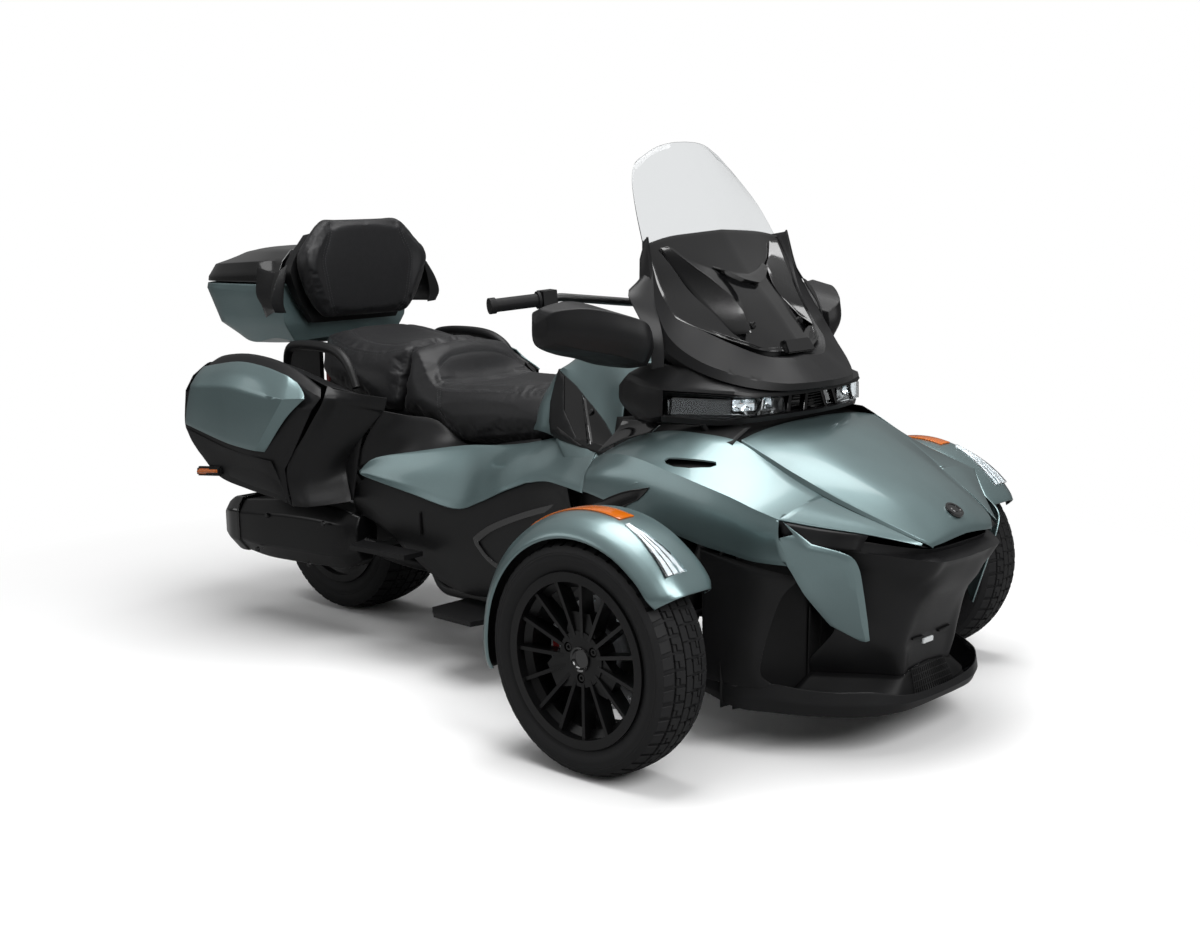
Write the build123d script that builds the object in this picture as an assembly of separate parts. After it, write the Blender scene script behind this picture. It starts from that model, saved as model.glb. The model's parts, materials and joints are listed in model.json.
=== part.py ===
"""A three-wheeled touring motorcycle with two steered front wheels and one driven rear wheel.

Row frame, in millimetres: +X is forward, +Y is the rider's left, +Z is up.
The origin is on the ground, under the middle of the whole vehicle.
Each piece is written to parts/NODE.step.
"""

import os
from math import cos, radians, sin

from build123d import *

# ---------------------------------------------------------------- driving dimensions
WHEELBASE = 1714.0
FRONT_TRACK = 1386.0
FRONT_AXLE_X = 842.0
REAR_AXLE_X = FRONT_AXLE_X - WHEELBASE

FRONT_TYRE_R = 281.0
FRONT_TYRE_W = 165.0
REAR_TYRE_R = 303.0
REAR_TYRE_W = 225.0
BEAD_R = 190.5  # both wheels take 15 inch tyres
FLANGE_R = 207.0
RIM_WALL = 6.0
SEAT_GAP = 0.3  # clearance left where two pieces seat on each other

SPOKES = 15
HUB_R = 66.0
LUG_CIRCLE_R = 45.0
LUG_R = 7.0
HUB_BORE_R = 27.0
HUB_SETBACK = 6.0  # front hub's inner face, outboard of the wheel's centre plane

DISC_R = 135.0
DISC_T = 5.0
DISC_OFFSET = 22.0  # inboard of the wheel's centre plane
KINGPIN_OFFSET = 65.0  # kingpin axis inboard of the wheel's centre plane
BALL_RISE = 118.0  # ball joints above and below the axle

PANEL = 4.0  # moulded panel wall
GAP = 3.0  # shut line between two body panels
LID_GAP = 6.0  # shut line around a lid that opens

SPINE_Y = 150.0
TUBE_R = 19.0

os.makedirs("parts", exist_ok=True)


# ---------------------------------------------------------------- helpers
def save(name, *shapes):
    """Writes one node, made of one or more separate solids."""
    solids = [s for shape in shapes for s in shape.solids()]
    export_step(Compound(children=solids) if len(solids) > 1 else solids[0], f"parts/{name}.step")


def same_side(shape):
    return shape


def other_side(shape):
    return mirror(shape, about=Plane.XZ)


def both(shape):
    return [shape, other_side(shape)]


def wire_of(*runs):
    """A closed wire from runs of points; a run of two points is a line and a longer one a spline."""
    edges = []
    for run in runs:
        pts = [Vector(*p) for p in run]
        edges.append(Edge.make_line(*pts) if len(pts) == 2 else Edge.make_spline(pts))
    return Wire(edges)


def prism_y(outline, low, high):
    """Extrudes an (x, z) outline from y = low to y = high."""
    face = Face(Wire.make_polygon([Vector(x, low, z) for x, z in outline]))
    return Solid.extrude(face, Vector(0, high - low, 0))


def prism_z(outline, low, high):
    """Extrudes an (x, y) outline from z = low to z = high."""
    face = Face(Wire.make_polygon([Vector(x, y, low) for x, y in outline]))
    return Solid.extrude(face, Vector(0, 0, high - low))


def prism_x(outline, low, high):
    """Extrudes a (y, z) outline from x = low to x = high."""
    face = Face(Wire.make_polygon([Vector(low, y, z) for y, z in outline]))
    return Solid.extrude(face, Vector(high - low, 0, 0))


def box(low, high):
    size = [b - a for a, b in zip(low, high)]
    return Pos(*[(a + b) / 2 for a, b in zip(low, high)]) * Box(*size)


def rod(start, end, radius):
    a, b = Vector(*start), Vector(*end)
    way = b - a
    return Solid.make_cylinder(radius, way.length, Plane(origin=a, z_dir=way))


def bent_tube(points, radius, bend):
    """A round tube along straight runs joined by arcs of one bend radius."""
    corners = [Vector(*p) for p in points]
    path = FilletPolyline(*corners, radius=bend) if len(corners) > 2 else Line(*corners)
    start = Plane(origin=path @ 0, z_dir=path % 0)
    return sweep(start * Circle(radius), path=path)


def turned(profile, centre):
    """Revolves an (axial, radial) outline round the Y axis and moves it to centre."""
    face = Face(profile)
    return Pos(*centre) * Solid.revolve(face, 360, Axis.Y)


def spun(runs, centre=(0, 0, 0)):
    """A revolved piece from runs of (axial, radial) points."""
    return turned(wire_of(*[[(0, a, r) for a, r in run] for run in runs]), centre)


def fuse_all(shapes):
    first, *rest = shapes
    return first.fuse(*rest) if rest else first


def tyre(radius, width):
    """A hollow radial tyre about the Y axis, centred on its own middle plane."""
    half = width / 2
    shoulder = radius - 12
    bulge = (BEAD_R + radius) / 2 - 4
    heel, toe = half - 10.5, half - 24
    foot = BEAD_R + SEAT_GAP
    outer = [
        [(-toe, foot), (-heel, foot)],
        [(-heel, foot), (-heel, FLANGE_R + 3)],
        [(-heel, FLANGE_R + 3), (-half, bulge + 6), (-half + 8, shoulder - 12), (-half + 16, shoulder)],
        [
            (-half + 16, shoulder), (-half * 0.45, radius - 2.5), (0, radius),
            (half * 0.45, radius - 2.5), (half - 16, shoulder),
        ],
        [(half - 16, shoulder), (half - 8, shoulder - 12), (half, bulge + 6), (heel, FLANGE_R + 3)],
        [(heel, FLANGE_R + 3), (heel, foot)],
        [(heel, foot), (toe, foot)],
    ]
    inner = [
        [(toe, foot), (toe + 2, foot + 16), (half - 10, bulge), (half - 20, shoulder - 14)],
        [(half - 20, shoulder - 14), (0, radius - 15), (20 - half, shoulder - 14)],
        [(20 - half, shoulder - 14), (10 - half, bulge), (-toe - 2, foot + 16), (-toe, foot)],
    ]
    return spun(outer + inner)


def rim_barrel(width):
    """The rolled barrel with its two flanges; outboard is towards -Y."""
    seat = width / 2 - 9.7  # the flange's inner face, just outside the tyre's heel
    lip = seat + 7
    drop = BEAD_R - 18
    return spun(
        [
            [(-lip, FLANGE_R), (-seat, FLANGE_R)],
            [(-seat, FLANGE_R), (-seat, BEAD_R)],
            [(-seat, BEAD_R), (-seat + 20, BEAD_R)],
            [(-seat + 20, BEAD_R), (-seat + 30, drop)],
            [(-seat + 30, drop), (seat - 30, drop)],
            [(seat - 30, drop), (seat - 20, BEAD_R)],
            [(seat - 20, BEAD_R), (seat, BEAD_R)],
            [(seat, BEAD_R), (seat, FLANGE_R)],
            [(seat, FLANGE_R), (lip, FLANGE_R)],
            [(lip, FLANGE_R), (lip, BEAD_R - RIM_WALL)],
            [(lip, BEAD_R - RIM_WALL), (seat - 17, BEAD_R - RIM_WALL)],
            [(seat - 17, BEAD_R - RIM_WALL), (seat - 27, drop - RIM_WALL)],
            [(seat - 27, drop - RIM_WALL), (-seat + 27, drop - RIM_WALL)],
            [(-seat + 27, drop - RIM_WALL), (-seat + 17, BEAD_R - RIM_WALL)],
            [(-seat + 17, BEAD_R - RIM_WALL), (-lip, BEAD_R - RIM_WALL)],
            [(-lip, BEAD_R - RIM_WALL), (-lip, FLANGE_R)],
        ]
    )


def front_rim():
    """A cast wheel: fifteen thin spokes that spring in fives from a three-lobed hub."""
    barrel = rim_barrel(FRONT_TYRE_W)
    face = -(FRONT_TYRE_W / 2 - 10)  # outboard face of the spokes at the rim
    hub_face = face + 16
    hub_back = -HUB_SETBACK
    reach = BEAD_R - RIM_WALL + 2
    hub = Pos(0, (hub_face + hub_back) / 2, 0) * Rot(90, 0, 0) * Cylinder(HUB_R, hub_back - hub_face)
    spokes = []
    for i in range(SPOKES):
        angle = 360 / SPOKES * i
        outline = [
            Vector(HUB_R - 14, hub_face, 0),
            Vector(reach, face, 0),
            Vector(reach, face + 34, 0),
            Vector(HUB_R - 14, hub_back - 4, 0),
        ]
        plate = Face(Wire.make_polygon(outline))
        spoke = Solid.extrude(plate.translate(Vector(0, 0, -4.5)), Vector(0, 0, 9))
        spokes.append(Rot(0, angle, 0) * spoke)
    lobes = []
    for i in range(3):
        lobe = Face(
            Wire.make_polygon(
                [
                    Vector(HUB_R - 10, 0, -46),
                    Vector(HUB_R + 44, 0, -30),
                    Vector(HUB_R + 44, 0, 30),
                    Vector(HUB_R - 10, 0, 46),
                ]
            )
        )
        solid = Solid.extrude(lobe.translate(Vector(0, hub_face + 3, 0)), Vector(0, 26, 0))
        lobes.append(Rot(0, 120 * i + 360 / SPOKES / 2 - 12 + 30, 0) * solid)
    wheel = fuse_all([barrel, hub, *spokes, *lobes])
    bore = Rot(90, 0, 0) * Cylinder(HUB_BORE_R, 200)
    wheel = wheel.cut(bore)
    for i in range(3):
        seat = Rot(0, 120 * i + 90, 0) * Pos(LUG_CIRCLE_R, 0, 0) * Rot(90, 0, 0)
        wheel = wheel.cut(seat * Cylinder(LUG_R, 300), (seat * Pos(0, 0, -hub_face - 4) * Cylinder(12, 20)))
    return wheel


# ---------------------------------------------------------------- panels
def unit(v):
    return v.normalized() if v.length > 1e-9 else v


def flat_normal(pts):
    """The normal of the plane that a row of points lies in, or None for a straight row."""
    a = pts[0]
    b = pts[-1]
    best = max(pts[1:-1], key=lambda p: ((p - a).cross(b - a)).length, default=None)
    if best is None:
        return None
    n = (best - a).cross(b - a)
    return n.normalized() if n.length > 0.02 * (b - a).length ** 2 else None


def flattened(pts):
    """Moves the points of an end row onto one plane, so that a loft can be closed there."""
    n = flat_normal(pts)
    return [p - n * (p - pts[0]).dot(n) for p in pts] if n else pts


def row_plane(rows, i):
    """The plane normal of row i, or of the row nearest to it that is not straight."""
    for j in sorted(range(len(rows)), key=lambda k: abs(k - i)):
        n = flat_normal(rows[j])
        if n is not None:
            return n
    return None


def inner_row(rows, i, wall, core):
    """Moves one row of a panel inwards, within the row's own plane, by the wall thickness."""
    row = rows[i]
    before, after = rows[max(i - 1, 0)], rows[min(i + 1, len(rows) - 1)]
    plane_n = row_plane(rows, i)
    moved = []
    for j, p in enumerate(row):
        along = row[min(j + 1, len(row) - 1)] - row[max(j - 1, 0)]
        way = plane_n.cross(along) if plane_n else along.cross(after[j] - before[j])
        way = unit(way)
        if way.dot(core - p) < 0:
            way = -way
        moved.append(p + way * wall)
    return moved


def row_edges(pts, creases):
    """Splines between creases, or lines where only two points are left."""
    marks = [0, *creases, len(pts) - 1]
    edges = []
    for a, b in zip(marks, marks[1:]):
        run = pts[a : b + 1]
        edges.append(Edge.make_line(*run) if len(run) == 2 else Edge.make_spline(run))
    return edges


def panel(rows, wall=PANEL, core=(0, 0, 0), creases=(), ruled=False):
    """A moulded sheet through rows of points, thickened towards the core point.

    Every row has as many points as the others; a crease is the index of a point that stays sharp.
    """
    rows = [[Vector(*p) for p in row] for row in rows]
    rows[0], rows[-1] = flattened(rows[0]), flattened(rows[-1])
    core = Vector(*core)
    wires = []
    for i, row in enumerate(rows):
        back = inner_row(rows, i, wall, core)
        outer = row_edges(row, creases)
        inner = row_edges(back[::-1], [len(row) - 1 - c for c in reversed(creases)])
        ends = [Edge.make_line(row[-1], back[-1]), Edge.make_line(back[0], row[0])]
        wires.append(Wire([*outer, ends[0], *inner, ends[1]]))
    return Solid.make_loft(wires, ruled)


def full(half_row):
    """A whole row from its left half, whose first point lies on the centre line."""
    return [(x, -y, z) for x, y, z in half_row[:0:-1]] + list(half_row)


def hull_of(sections, ruled=False):
    """A closed body lofted through closed sections; each is a list of points, joined smoothly."""
    wires = [Wire([Edge.make_spline([Vector(*p) for p in s], periodic=True)]) for s in sections]
    return Solid.make_loft(wires, ruled)


def facet_hull(sections, ruled=True):
    """A closed body lofted through polygons with as many corners each."""
    return Solid.make_loft([Wire.make_polygon([Vector(*p) for p in s]) for s in sections], ruled)


# ---------------------------------------------------------------- bodywork
BODY_CORE = (1000, 0, 350)

HOOD_ROWS = [
    [(948, 0, 764), (948, 150, 760), (948, 285, 742), (948, 290, 716)],
    [(1027, 0, 742), (1027, 150, 734), (1027, 280, 708), (1027, 284, 684)],
    [(1085, 0, 716), (1085, 147, 708), (1085, 268, 675), (1085, 271, 657)],
    [(1195, 0, 664), (1195, 140, 657), (1195, 238, 619), (1195, 240, 608)],
    [(1300, 0, 610), (1300, 127, 600), (1300, 200, 569), (1300, 202, 561)],
    [(1370, 0, 560), (1370, 112, 548), (1370, 165, 533), (1370, 167, 526)],
    [(1398, 0, 522), (1398, 95, 518), (1398, 130, 513), (1398, 132, 507)],
]


def trunk_lid():
    return panel([full(r) for r in HOOD_ROWS], core=(1100, 0, 200), creases=(1, 2, 4, 5))


def side_fairing():
    """The left shoulder of the body, from under the console to the lid's front corner, with its fang."""
    shoulder = panel(
        [
            [(560, 330, 672), (560, 372, 660), (560, 392, 634), (560, 400, 610)],
            [(640, 318, 722), (640, 400, 696), (640, 428, 640), (640, 436, 600)],
            [(740, 312, 752), (740, 424, 694), (740, 442, 630), (740, 450, 566)],
            [(850, 310, 752), (850, 436, 674), (850, 450, 604), (850, 455, 532)],
            [(948, 312, 730), (948, 440, 653), (948, 450, 588), (948, 455, 516)],
            [(1085, 278, 652), (1085, 437, 618), (1085, 446, 560), (1085, 446, 494)],
            [(1180, 252, 610), (1180, 424, 590), (1180, 428, 545), (1180, 418, 500)],
            [(1250, 229, 580), (1250, 362, 566), (1250, 370, 528), (1250, 362, 500)],
        ],
        core=BODY_CORE,
        creases=(1,),
    )
    beak = panel(
        [
            [(1250, 229, 580), (1250, 362, 566), (1250, 370, 528), (1250, 362, 500)],
            [(1315, 204, 554), (1315, 262, 544), (1315, 268, 534), (1315, 264, 524)],
            [(1384, 168, 519), (1384, 171, 516), (1384, 173, 513), (1384, 172, 510)],
        ],
        core=BODY_CORE,
        creases=(1,),
        ruled=True,
    )
    fang = panel(
        [
            [(1180, 428, 545), (1225, 400, 535), (1290, 350, 500)],
            [(1186, 414, 470), (1235, 390, 470), (1304, 320, 470)],
            [(1204, 372, 415), (1245, 345, 415), (1300, 292, 415)],
            [(1228, 304, 330), (1255, 285, 330), (1290, 256, 330)],
            [(1270, 250, 290), (1277, 244, 290), (1284, 238, 290)],
        ],
        core=BODY_CORE,
        ruled=True,
    )
    return fuse_all([shoulder, beak, fang])


def nose_fascia():
    """The centre of the front bumper, from the lid's lip down to the chin."""
    rows = [
        [(1392, 0, 494), (1390, 90, 494), (1376, 150, 496), (1330, 196, 500)],
        [(1416.5, 0, 468), (1413, 90, 470), (1398, 150, 478), (1330, 212, 488)],
        [(1398, 0, 440), (1395, 90, 441), (1378, 140, 446), (1300, 226, 456)],
        [(1368, 0, 390), (1365, 90, 390), (1348, 132, 390), (1262, 226, 390)],
        [(1352, 0, 325), (1349, 80, 325), (1332, 122, 325), (1240, 228, 325)],
        [(1378, 0, 250), (1374, 80, 250), (1352, 134, 250), (1236, 244, 250)],
        [(1384, 0, 236), (1378, 80, 235), (1350, 130, 232), (1230, 246, 228)],
        [(1308, 0, 176), (1305, 80, 174), (1285, 124, 170), (1180, 240, 160)],
    ]
    return panel([full(r) for r in rows], core=(1100, 0, 330), wall=PANEL)


def bumper_side():
    """The left end of the front bumper, with the air intake open in it."""
    outer = panel(
        [
            [(950, 450, 506), (1060, 436, 486), (1180, 398, 470), (1262, 346, 470)],
            [(962, 454, 440), (1064, 436, 436), (1176, 388, 430), (1258, 322, 430)],
            [(962, 450, 330), (1062, 428, 330), (1174, 370, 330), (1252, 296, 330)],
            [(948, 438, 240), (1052, 416, 240), (1168, 356, 240), (1248, 286, 240)],
            [(935, 420, 150), (1040, 404, 142), (1163, 339, 140), (1240, 262, 140)],
        ],
        core=BODY_CORE,
    )
    mouth = prism_y([
        (1102, 210), (1120, 182), (1300, 168), (1300, 455), (1176, 430), (1140, 400), (1108, 300),
    ], 200, 500)
    return outer.cut(mouth)


def chin_splitter():
    """The lip under the bumper, with its two turned-up ends."""
    plan = [
        (1000, 0), (1000, 200), (935, 300), (935, 415), (1029, 412), (1163, 342), (1228, 302),
        (1300, 290), (1314, 150), (1320, 0),
    ]
    half = prism_z([(x, y) for x, y in plan], 104, 116)
    lip = fuse_all([half, other_side(half)])
    ends = [prism_y([(1238, 112), (1300, 112), (1306, 170), (1284, 164), (1248, 124)], 280, 290)]
    ends += [other_side(e) for e in ends]
    return fuse_all([lip, *ends])


SEAT_FRONT = [(39, 900), (290, 600)]  # the slanted parting line between seat and console

CONSOLE_ROWS = [
    [(100, 0, 770), (100, 90, 770), (100, 148, 762), (100, 186, 690)],
    [(150, 0, 806), (150, 90, 804), (150, 150, 784), (150, 190, 696)],
    [(205, 0, 868), (205, 100, 862), (205, 172, 818), (205, 212, 700)],
    [(280, 0, 926), (280, 90, 924), (280, 152, 914), (280, 250, 700)],
    [(360, 0, 936), (360, 80, 930), (360, 150, 904), (360, 282, 700)],
    [(450, 0, 936), (450, 100, 926), (450, 200, 862), (450, 306, 690)],
    [(560, 0, 936), (560, 150, 916), (560, 270, 832), (560, 330, 690)],
]
DISPLAY_STAY = (497, 0, 905)  # where the display's stay leaves the steering head
STEER_POINT = (470, 0, 980)
STEER_WAY = (-0.4, 0, 0.92)


def along_stem(distance):
    way = Vector(*STEER_WAY).normalized()
    return Vector(*STEER_POINT) + way * distance


def behind_line(gap):
    """Everything behind the parting line between seat and console, moved forward by the gap."""
    (x0, z0), (x1, z1) = SEAT_FRONT
    return prism_y([(x0 + gap, z0), (x1 + gap, z1), (-900, z1), (-900, z0)], -400, 400)


def console():
    shell = panel([full(r) for r in CONSOLE_ROWS], core=(400, 0, 600), creases=(2, 4))
    hole = rod(along_stem(-150), along_stem(60), 46)
    stay_hole = rod(DISPLAY_STAY, (697, 0, 1015), 12)
    return shell.cut(hole, stay_hole, behind_line(GAP))


def console_trim():
    """The gloss inset on the console's left flank."""
    rows = [full(r) for r in CONSOLE_ROWS]
    proud = 0.5
    raised = [[(x, y + proud, z + proud) for x, y, z in row[4:]] for row in rows]
    skin = panel(raised, wall=-2.5, core=(400, 0, 600))
    outline = [
        (206, 800), (266, 880), (300, 874), (400, 800), (505, 716), (486, 706), (430, 706), (280, 716),
        (232, 740),
    ]
    return skin & prism_y(outline, 100, 400)


def side_panel(wall=PANEL):
    """The painted flank under the left side of the seat."""
    return panel(
        [
            [(-405, 292, 574), (-405, 306, 562), (-405, 320, 548)],
            [(-300, 268, 604), (-300, 318, 566), (-300, 344, 530)],
            [(-60, 238, 648), (-60, 300, 590), (-60, 366, 510)],
            [(151, 218, 678), (151, 296, 600), (151, 380, 494)],
            [(260, 244, 680), (260, 312, 620), (260, 366, 540)],
            [(348, 272, 680), (348, 320, 636), (348, 344, 590)],
            [(470, 318, 678), (470, 340, 656), (470, 356, 616)],
            [(545, 342, 666), (545, 358, 650), (545, 372, 620)],
        ],
        wall=wall,
        core=(0, 0, 400),
    )


def lower_cover():
    """The dark flank under the painted one, down to the footboard."""
    skin = panel(
        [
            [(-405, 314, 536), (-405, 310, 480), (-405, 296, 420)],
            [(-300, 334, 515), (-300, 330, 450), (-300, 304, 372)],
            [(-104, 350, 499), (-104, 348, 440), (-104, 330, 340)],
            [(0, 358, 489), (0, 356, 400), (0, 326, 240)],
            [(151, 370, 480), (151, 360, 360), (151, 312, 205)],
            [(300, 346, 545), (300, 346, 400), (300, 318, 215)],
            [(426, 341, 590), (426, 345, 430), (426, 328, 250)],
            [(530, 362, 600), (530, 366, 470), (530, 348, 320)],
        ],
        core=(100, 0, 400),
    )
    return skin.cut(side_panel(3 * PANEL))


def seat_side_cover():
    """The dark panel between the seat and the painted flank."""
    return panel(
        [
            [(-640, 250, 720), (-640, 276, 660), (-640, 290, 580)],
            [(-470, 244, 690), (-470, 278, 630), (-470, 292, 570)],
            [(-300, 234, 644), (-300, 250, 630), (-300, 262, 610)],
            [(-130, 226, 650), (-130, 232, 647), (-130, 238, 643)],
        ],
        core=(-300, 0, 500),
    )


# ---------------------------------------------------------------- cowl, lamps and windshield
def cowl_collar():
    """The dark collar that runs round the foot of the windshield and forms the nose above the lamps."""
    rows = [
        [(915, 0, 926), (968, 0, 890), (1004, 0, 848), (990, 0, 832)],
        [(908, 90, 924), (958, 110, 888), (988, 125, 848), (974, 118, 832)],
        [(880, 160, 926), (925, 190, 892), (955, 215, 858), (942, 206, 842)],
        [(848, 214, 930), (890, 244, 898), (920, 268, 866), (906, 258, 848)],
        [(800, 262, 938), (826, 290, 915), (842, 304, 892), (826, 296, 872)],
        [(735, 305, 975), (748, 328, 935), (752, 334, 905), (738, 322, 884)],
        [(660, 322, 1030), (664, 346, 972), (664, 350, 920), (650, 338, 896)],
    ]
    half = panel(rows, wall=PANEL, core=(700, 0, 850), creases=(2,))
    return fuse_all([half, other_side(half)])


def cowl_flank():
    """The left flank of the cowl, between the windshield's edge and the mirror pod."""
    return panel(
        [
            [(656, 287, 1206), (652, 292, 1204), (646, 296, 1200)],
            [(690, 290, 1120), (676, 304, 1115), (652, 312, 1110)],
            [(706, 292, 1072), (680, 314, 1060), (640, 324, 1050)],
            [(728, 302, 1004), (694, 326, 990), (630, 330, 980)],
            [(738, 314, 962), (700, 334, 945), (630, 338, 930)],
            [(734, 318, 905), (690, 336, 890), (630, 340, 880)],
        ],
        core=(600, 0, 950),
    )


def upper_cowl():
    return fuse_all([cowl_collar(), *both(cowl_flank())])


def lamp_band(low, high, depth):
    """A band of the headlight unit, following its curved front, between two heights."""
    front = [(967, 0), (955, 140), (938, 236), (905, 276), (845, 308), (745, 332), (600, 326)]
    back = [(600, 300), (745, 300), (830, 276), (880, 240), (905, 140), (915, 0)]
    plan = front + [(x - depth, y) for x, y in back]
    half = prism_z(plan, low, high)
    return fuse_all([half, other_side(half)])


def lamp_housing():
    body = lamp_band(774, 840, 0)
    front_face = [
        (980, 0), (968, 144), (950, 242), (912, 286), (850, 320), (745, 346), (745, 318), (835, 294),
        (890, 258), (925, 140), (937, 0),
    ]
    recess = prism_z(front_face, 790, 832)
    return body.cut(recess, other_side(recess))


def headlight():
    """The left lens with its lamp behind it."""
    plan = [
        (951, 112), (937, 232), (903, 272), (842, 303), (755, 327), (755, 321), (838, 297), (896, 264),
        (928, 226), (941, 112),
    ]
    return prism_z(plan, 790.3, 831.7)


def centre_grille():
    frame_bar = box((938, -95, 790.3), (960, 95, 831.7)).cut(box((930, -80, 796), (990, 80, 826)))
    slats = [box((940, -80.5, z), (954, 80.5, z + 3)) for z in (802, 810, 818)]
    return fuse_all([frame_bar, *slats])


WINDSHIELD_WALL = 4.0


def shield_rows(heights, shift):
    """Level rows across the windshield; each height gives centre, middle and edge of the left half."""
    halves = [[(c + shift, 0, z), (m + shift, my, z), (e + shift, ey, z)] for z, c, m, my, e, ey in heights]
    return [full(half) for half in halves]


def windshield():
    heights = [
        (1080, 792, 776, 130, 698, 258),
        (1150, 730, 718, 130, 672, 266),
        (1219, 669, 662, 130, 644, 276),
        (1300, 633, 626, 120, 598, 255),
        (1400, 589, 580, 100, 544, 206),
        (1464, 562, 555, 80, 522, 160),
    ]
    sheet = panel(shield_rows(heights, -8), wall=WINDSHIELD_WALL, core=(400, 0, 1200))
    outline = [
        (-300, 1000), (300, 1000), (272, 1219), (252, 1300), (224, 1360), (188, 1402), (158, 1420),
        (104, 1446), (50, 1460), (0, 1464),
    ]
    outline += [(-y, z) for y, z in outline[-2:1:-1]]
    return sheet & prism_x(outline, 300, 1000)


def windshield_panel():
    heights = [
        (940, 912, 909, 60, 896, 108),
        (990, 869, 860, 100, 832, 190),
        (1035, 833, 816, 140, 738, 268),
        (1082, 794, 780, 140, 704, 276),
        (1150, 733, 724, 140, 680, 278),
        (1219, 671, 667, 140, 654, 280),
    ]
    return panel(shield_rows(heights, 0), wall=WINDSHIELD_WALL, core=(400, 0, 1100))


def dashboard():
    """The instrument pod behind the windshield, with its wide display."""
    hood = prism_y([(560, 945), (720, 945), (735, 1020), (690, 1062), (640, 1075), (600, 1000)], -175, 175)
    screen = prism_y([(595, 1002), (636, 1070), (650, 1062), (610, 996)], -135, 135)
    return hood.cut(screen)


POD_FACE_X = 530.0  # flat rear face of a mirror pod


def mirror_pod():
    """The left mirror housing; its glass sits in the flat rear face."""
    sections = [
        [
            (610, 362, 915), (606, 362, 980), (640, 362, 1000), (700, 362, 990), (734, 362, 940),
            (726, 362, 905), (660, 362, 902),
        ],
        [
            (545, 450, 938), (545, 450, 1030), (590, 450, 1066), (650, 450, 1052), (690, 450, 990),
            (676, 450, 932), (610, 450, 914),
        ],
        [
            (524, 510, 955), (524, 510, 1040), (565, 510, 1068), (612, 510, 1050), (640, 510, 1000),
            (622, 510, 955), (570, 510, 940),
        ],
        [
            (530, 564, 985), (532, 564, 1030), (555, 564, 1050), (585, 564, 1040), (600, 564, 1010),
            (590, 564, 985), (560, 564, 972),
        ],
    ]
    return hull_of(sections).cut(box((400, 300, 800), (POD_FACE_X, 700, 1200)))


def mirror_glass():
    outline = [
        (446, 966), (446, 1028), (470, 1044), (520, 1046), (546, 1030), (548, 990), (530, 968),
        (480, 960),
    ]
    return prism_x(outline, POD_FACE_X - 3.2, POD_FACE_X)


# ---------------------------------------------------------------- seats and luggage
def seat_section(x, half_top, mid_z, side_z, half_low, low_z):
    """A ring of ten points across a seat cushion at one x."""
    top, side = (mid_z + side_z) / 2 + 4, (side_z + low_z) / 2
    middle = (half_top + half_low) / 2
    left = [(half_top * 0.75, top), (half_top, side_z - 6), (middle, side), (half_low, low_z)]
    right = [(-y, z) for y, z in reversed(left)]
    return [(x, y, z) for y, z in [(0, mid_z), *left, (0, low_z + 8), *right]]


def rider_seat():
    rows = [
        seat_section(240, 120, 790, 776, 176, 706),
        seat_section(100, 176, 774, 778, 196, 696),
        seat_section(-40, 216, 764, 780, 214, 680),
        seat_section(-180, 228, 768, 788, 220, 672),
        seat_section(-290, 224, 812, 812, 214, 684),
        seat_section(-350, 205, 905, 850, 210, 700),
        seat_section(-392, 195, 912, 850, 200, 720),
    ]
    return hull_of(rows) & behind_line(0)


def passenger_seat():
    rows = [
        seat_section(-402, 190, 880, 830, 215, 700),
        seat_section(-500, 225, 876, 836, 235, 716),
        seat_section(-620, 230, 900, 850, 235, 736),
        seat_section(-720, 220, 930, 870, 225, 760),
        seat_section(-780, 200, 940, 890, 210, 780),
    ]
    return hull_of(rows)


def backrest_pad():
    def section(z, x, half, thick):
        return [
            (x, 0, z), (x + 2, half * 0.6, z), (x - 4, half, z), (x - thick, half * 0.96, z),
            (x - thick - 4, 0, z), (x - thick, -half * 0.96, z), (x - 4, -half, z), (x + 2, -half * 0.6, z),
        ]
    return hull_of([
        section(960, -782, 160, 44), section(1040, -778, 214, 54), section(1130, -776, 250, 58),
        section(1185, -779, 240, 58), section(1250, -788, 182, 46), section(1279, -800, 140, 24),
    ])


def case_level(inset, z, front, rear, half, nose):
    """A six-cornered ring round the top case at one height."""
    a, r, h = front - inset, rear + inset, half - inset
    return [(a, -h, z), (a, h, z), (r + nose, h, z), (r, h * 0.55, z), (r, -h * 0.55, z), (r + nose, -h, z)]


def topcase_hull(inset):
    return facet_hull([
        case_level(inset, 872 + inset, -880, -1150, 200, 30),
        case_level(inset, 960, -880, -1270, 245, 50),
        case_level(inset, 1074 + (1 if inset else 0), -880, -1376, 270, 70),
    ])


def topcase_shell():
    return topcase_hull(0).cut(topcase_hull(PANEL))


def lid_hull(inset):
    return facet_hull([
        case_level(inset, 1079.5 - (1 if inset else 0), -904, -1376, 270, 70),
        case_level(inset, 1150 - inset, -904, -1340, 262, 60),
        case_level(inset, 1188 - inset, -904, -1280, 225, 50),
    ])


def topcase_lid():
    return lid_hull(0).cut(lid_hull(PANEL))


PANNIER_OUT = [
    (-1029, 815), (-1062, 640), (-971, 486), (-585, 423), (-413, 466), (-340, 770), (-517, 863),
    (-873, 866),
]
PANNIER_IN = [
    (-1010, 770), (-1040, 640), (-960, 496), (-585, 433), (-413, 470), (-311, 740), (-517, 798),
    (-873, 804),
]
PANNIER_Y = (326, 470, 520)  # inner face, shoulder and outer face


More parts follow.
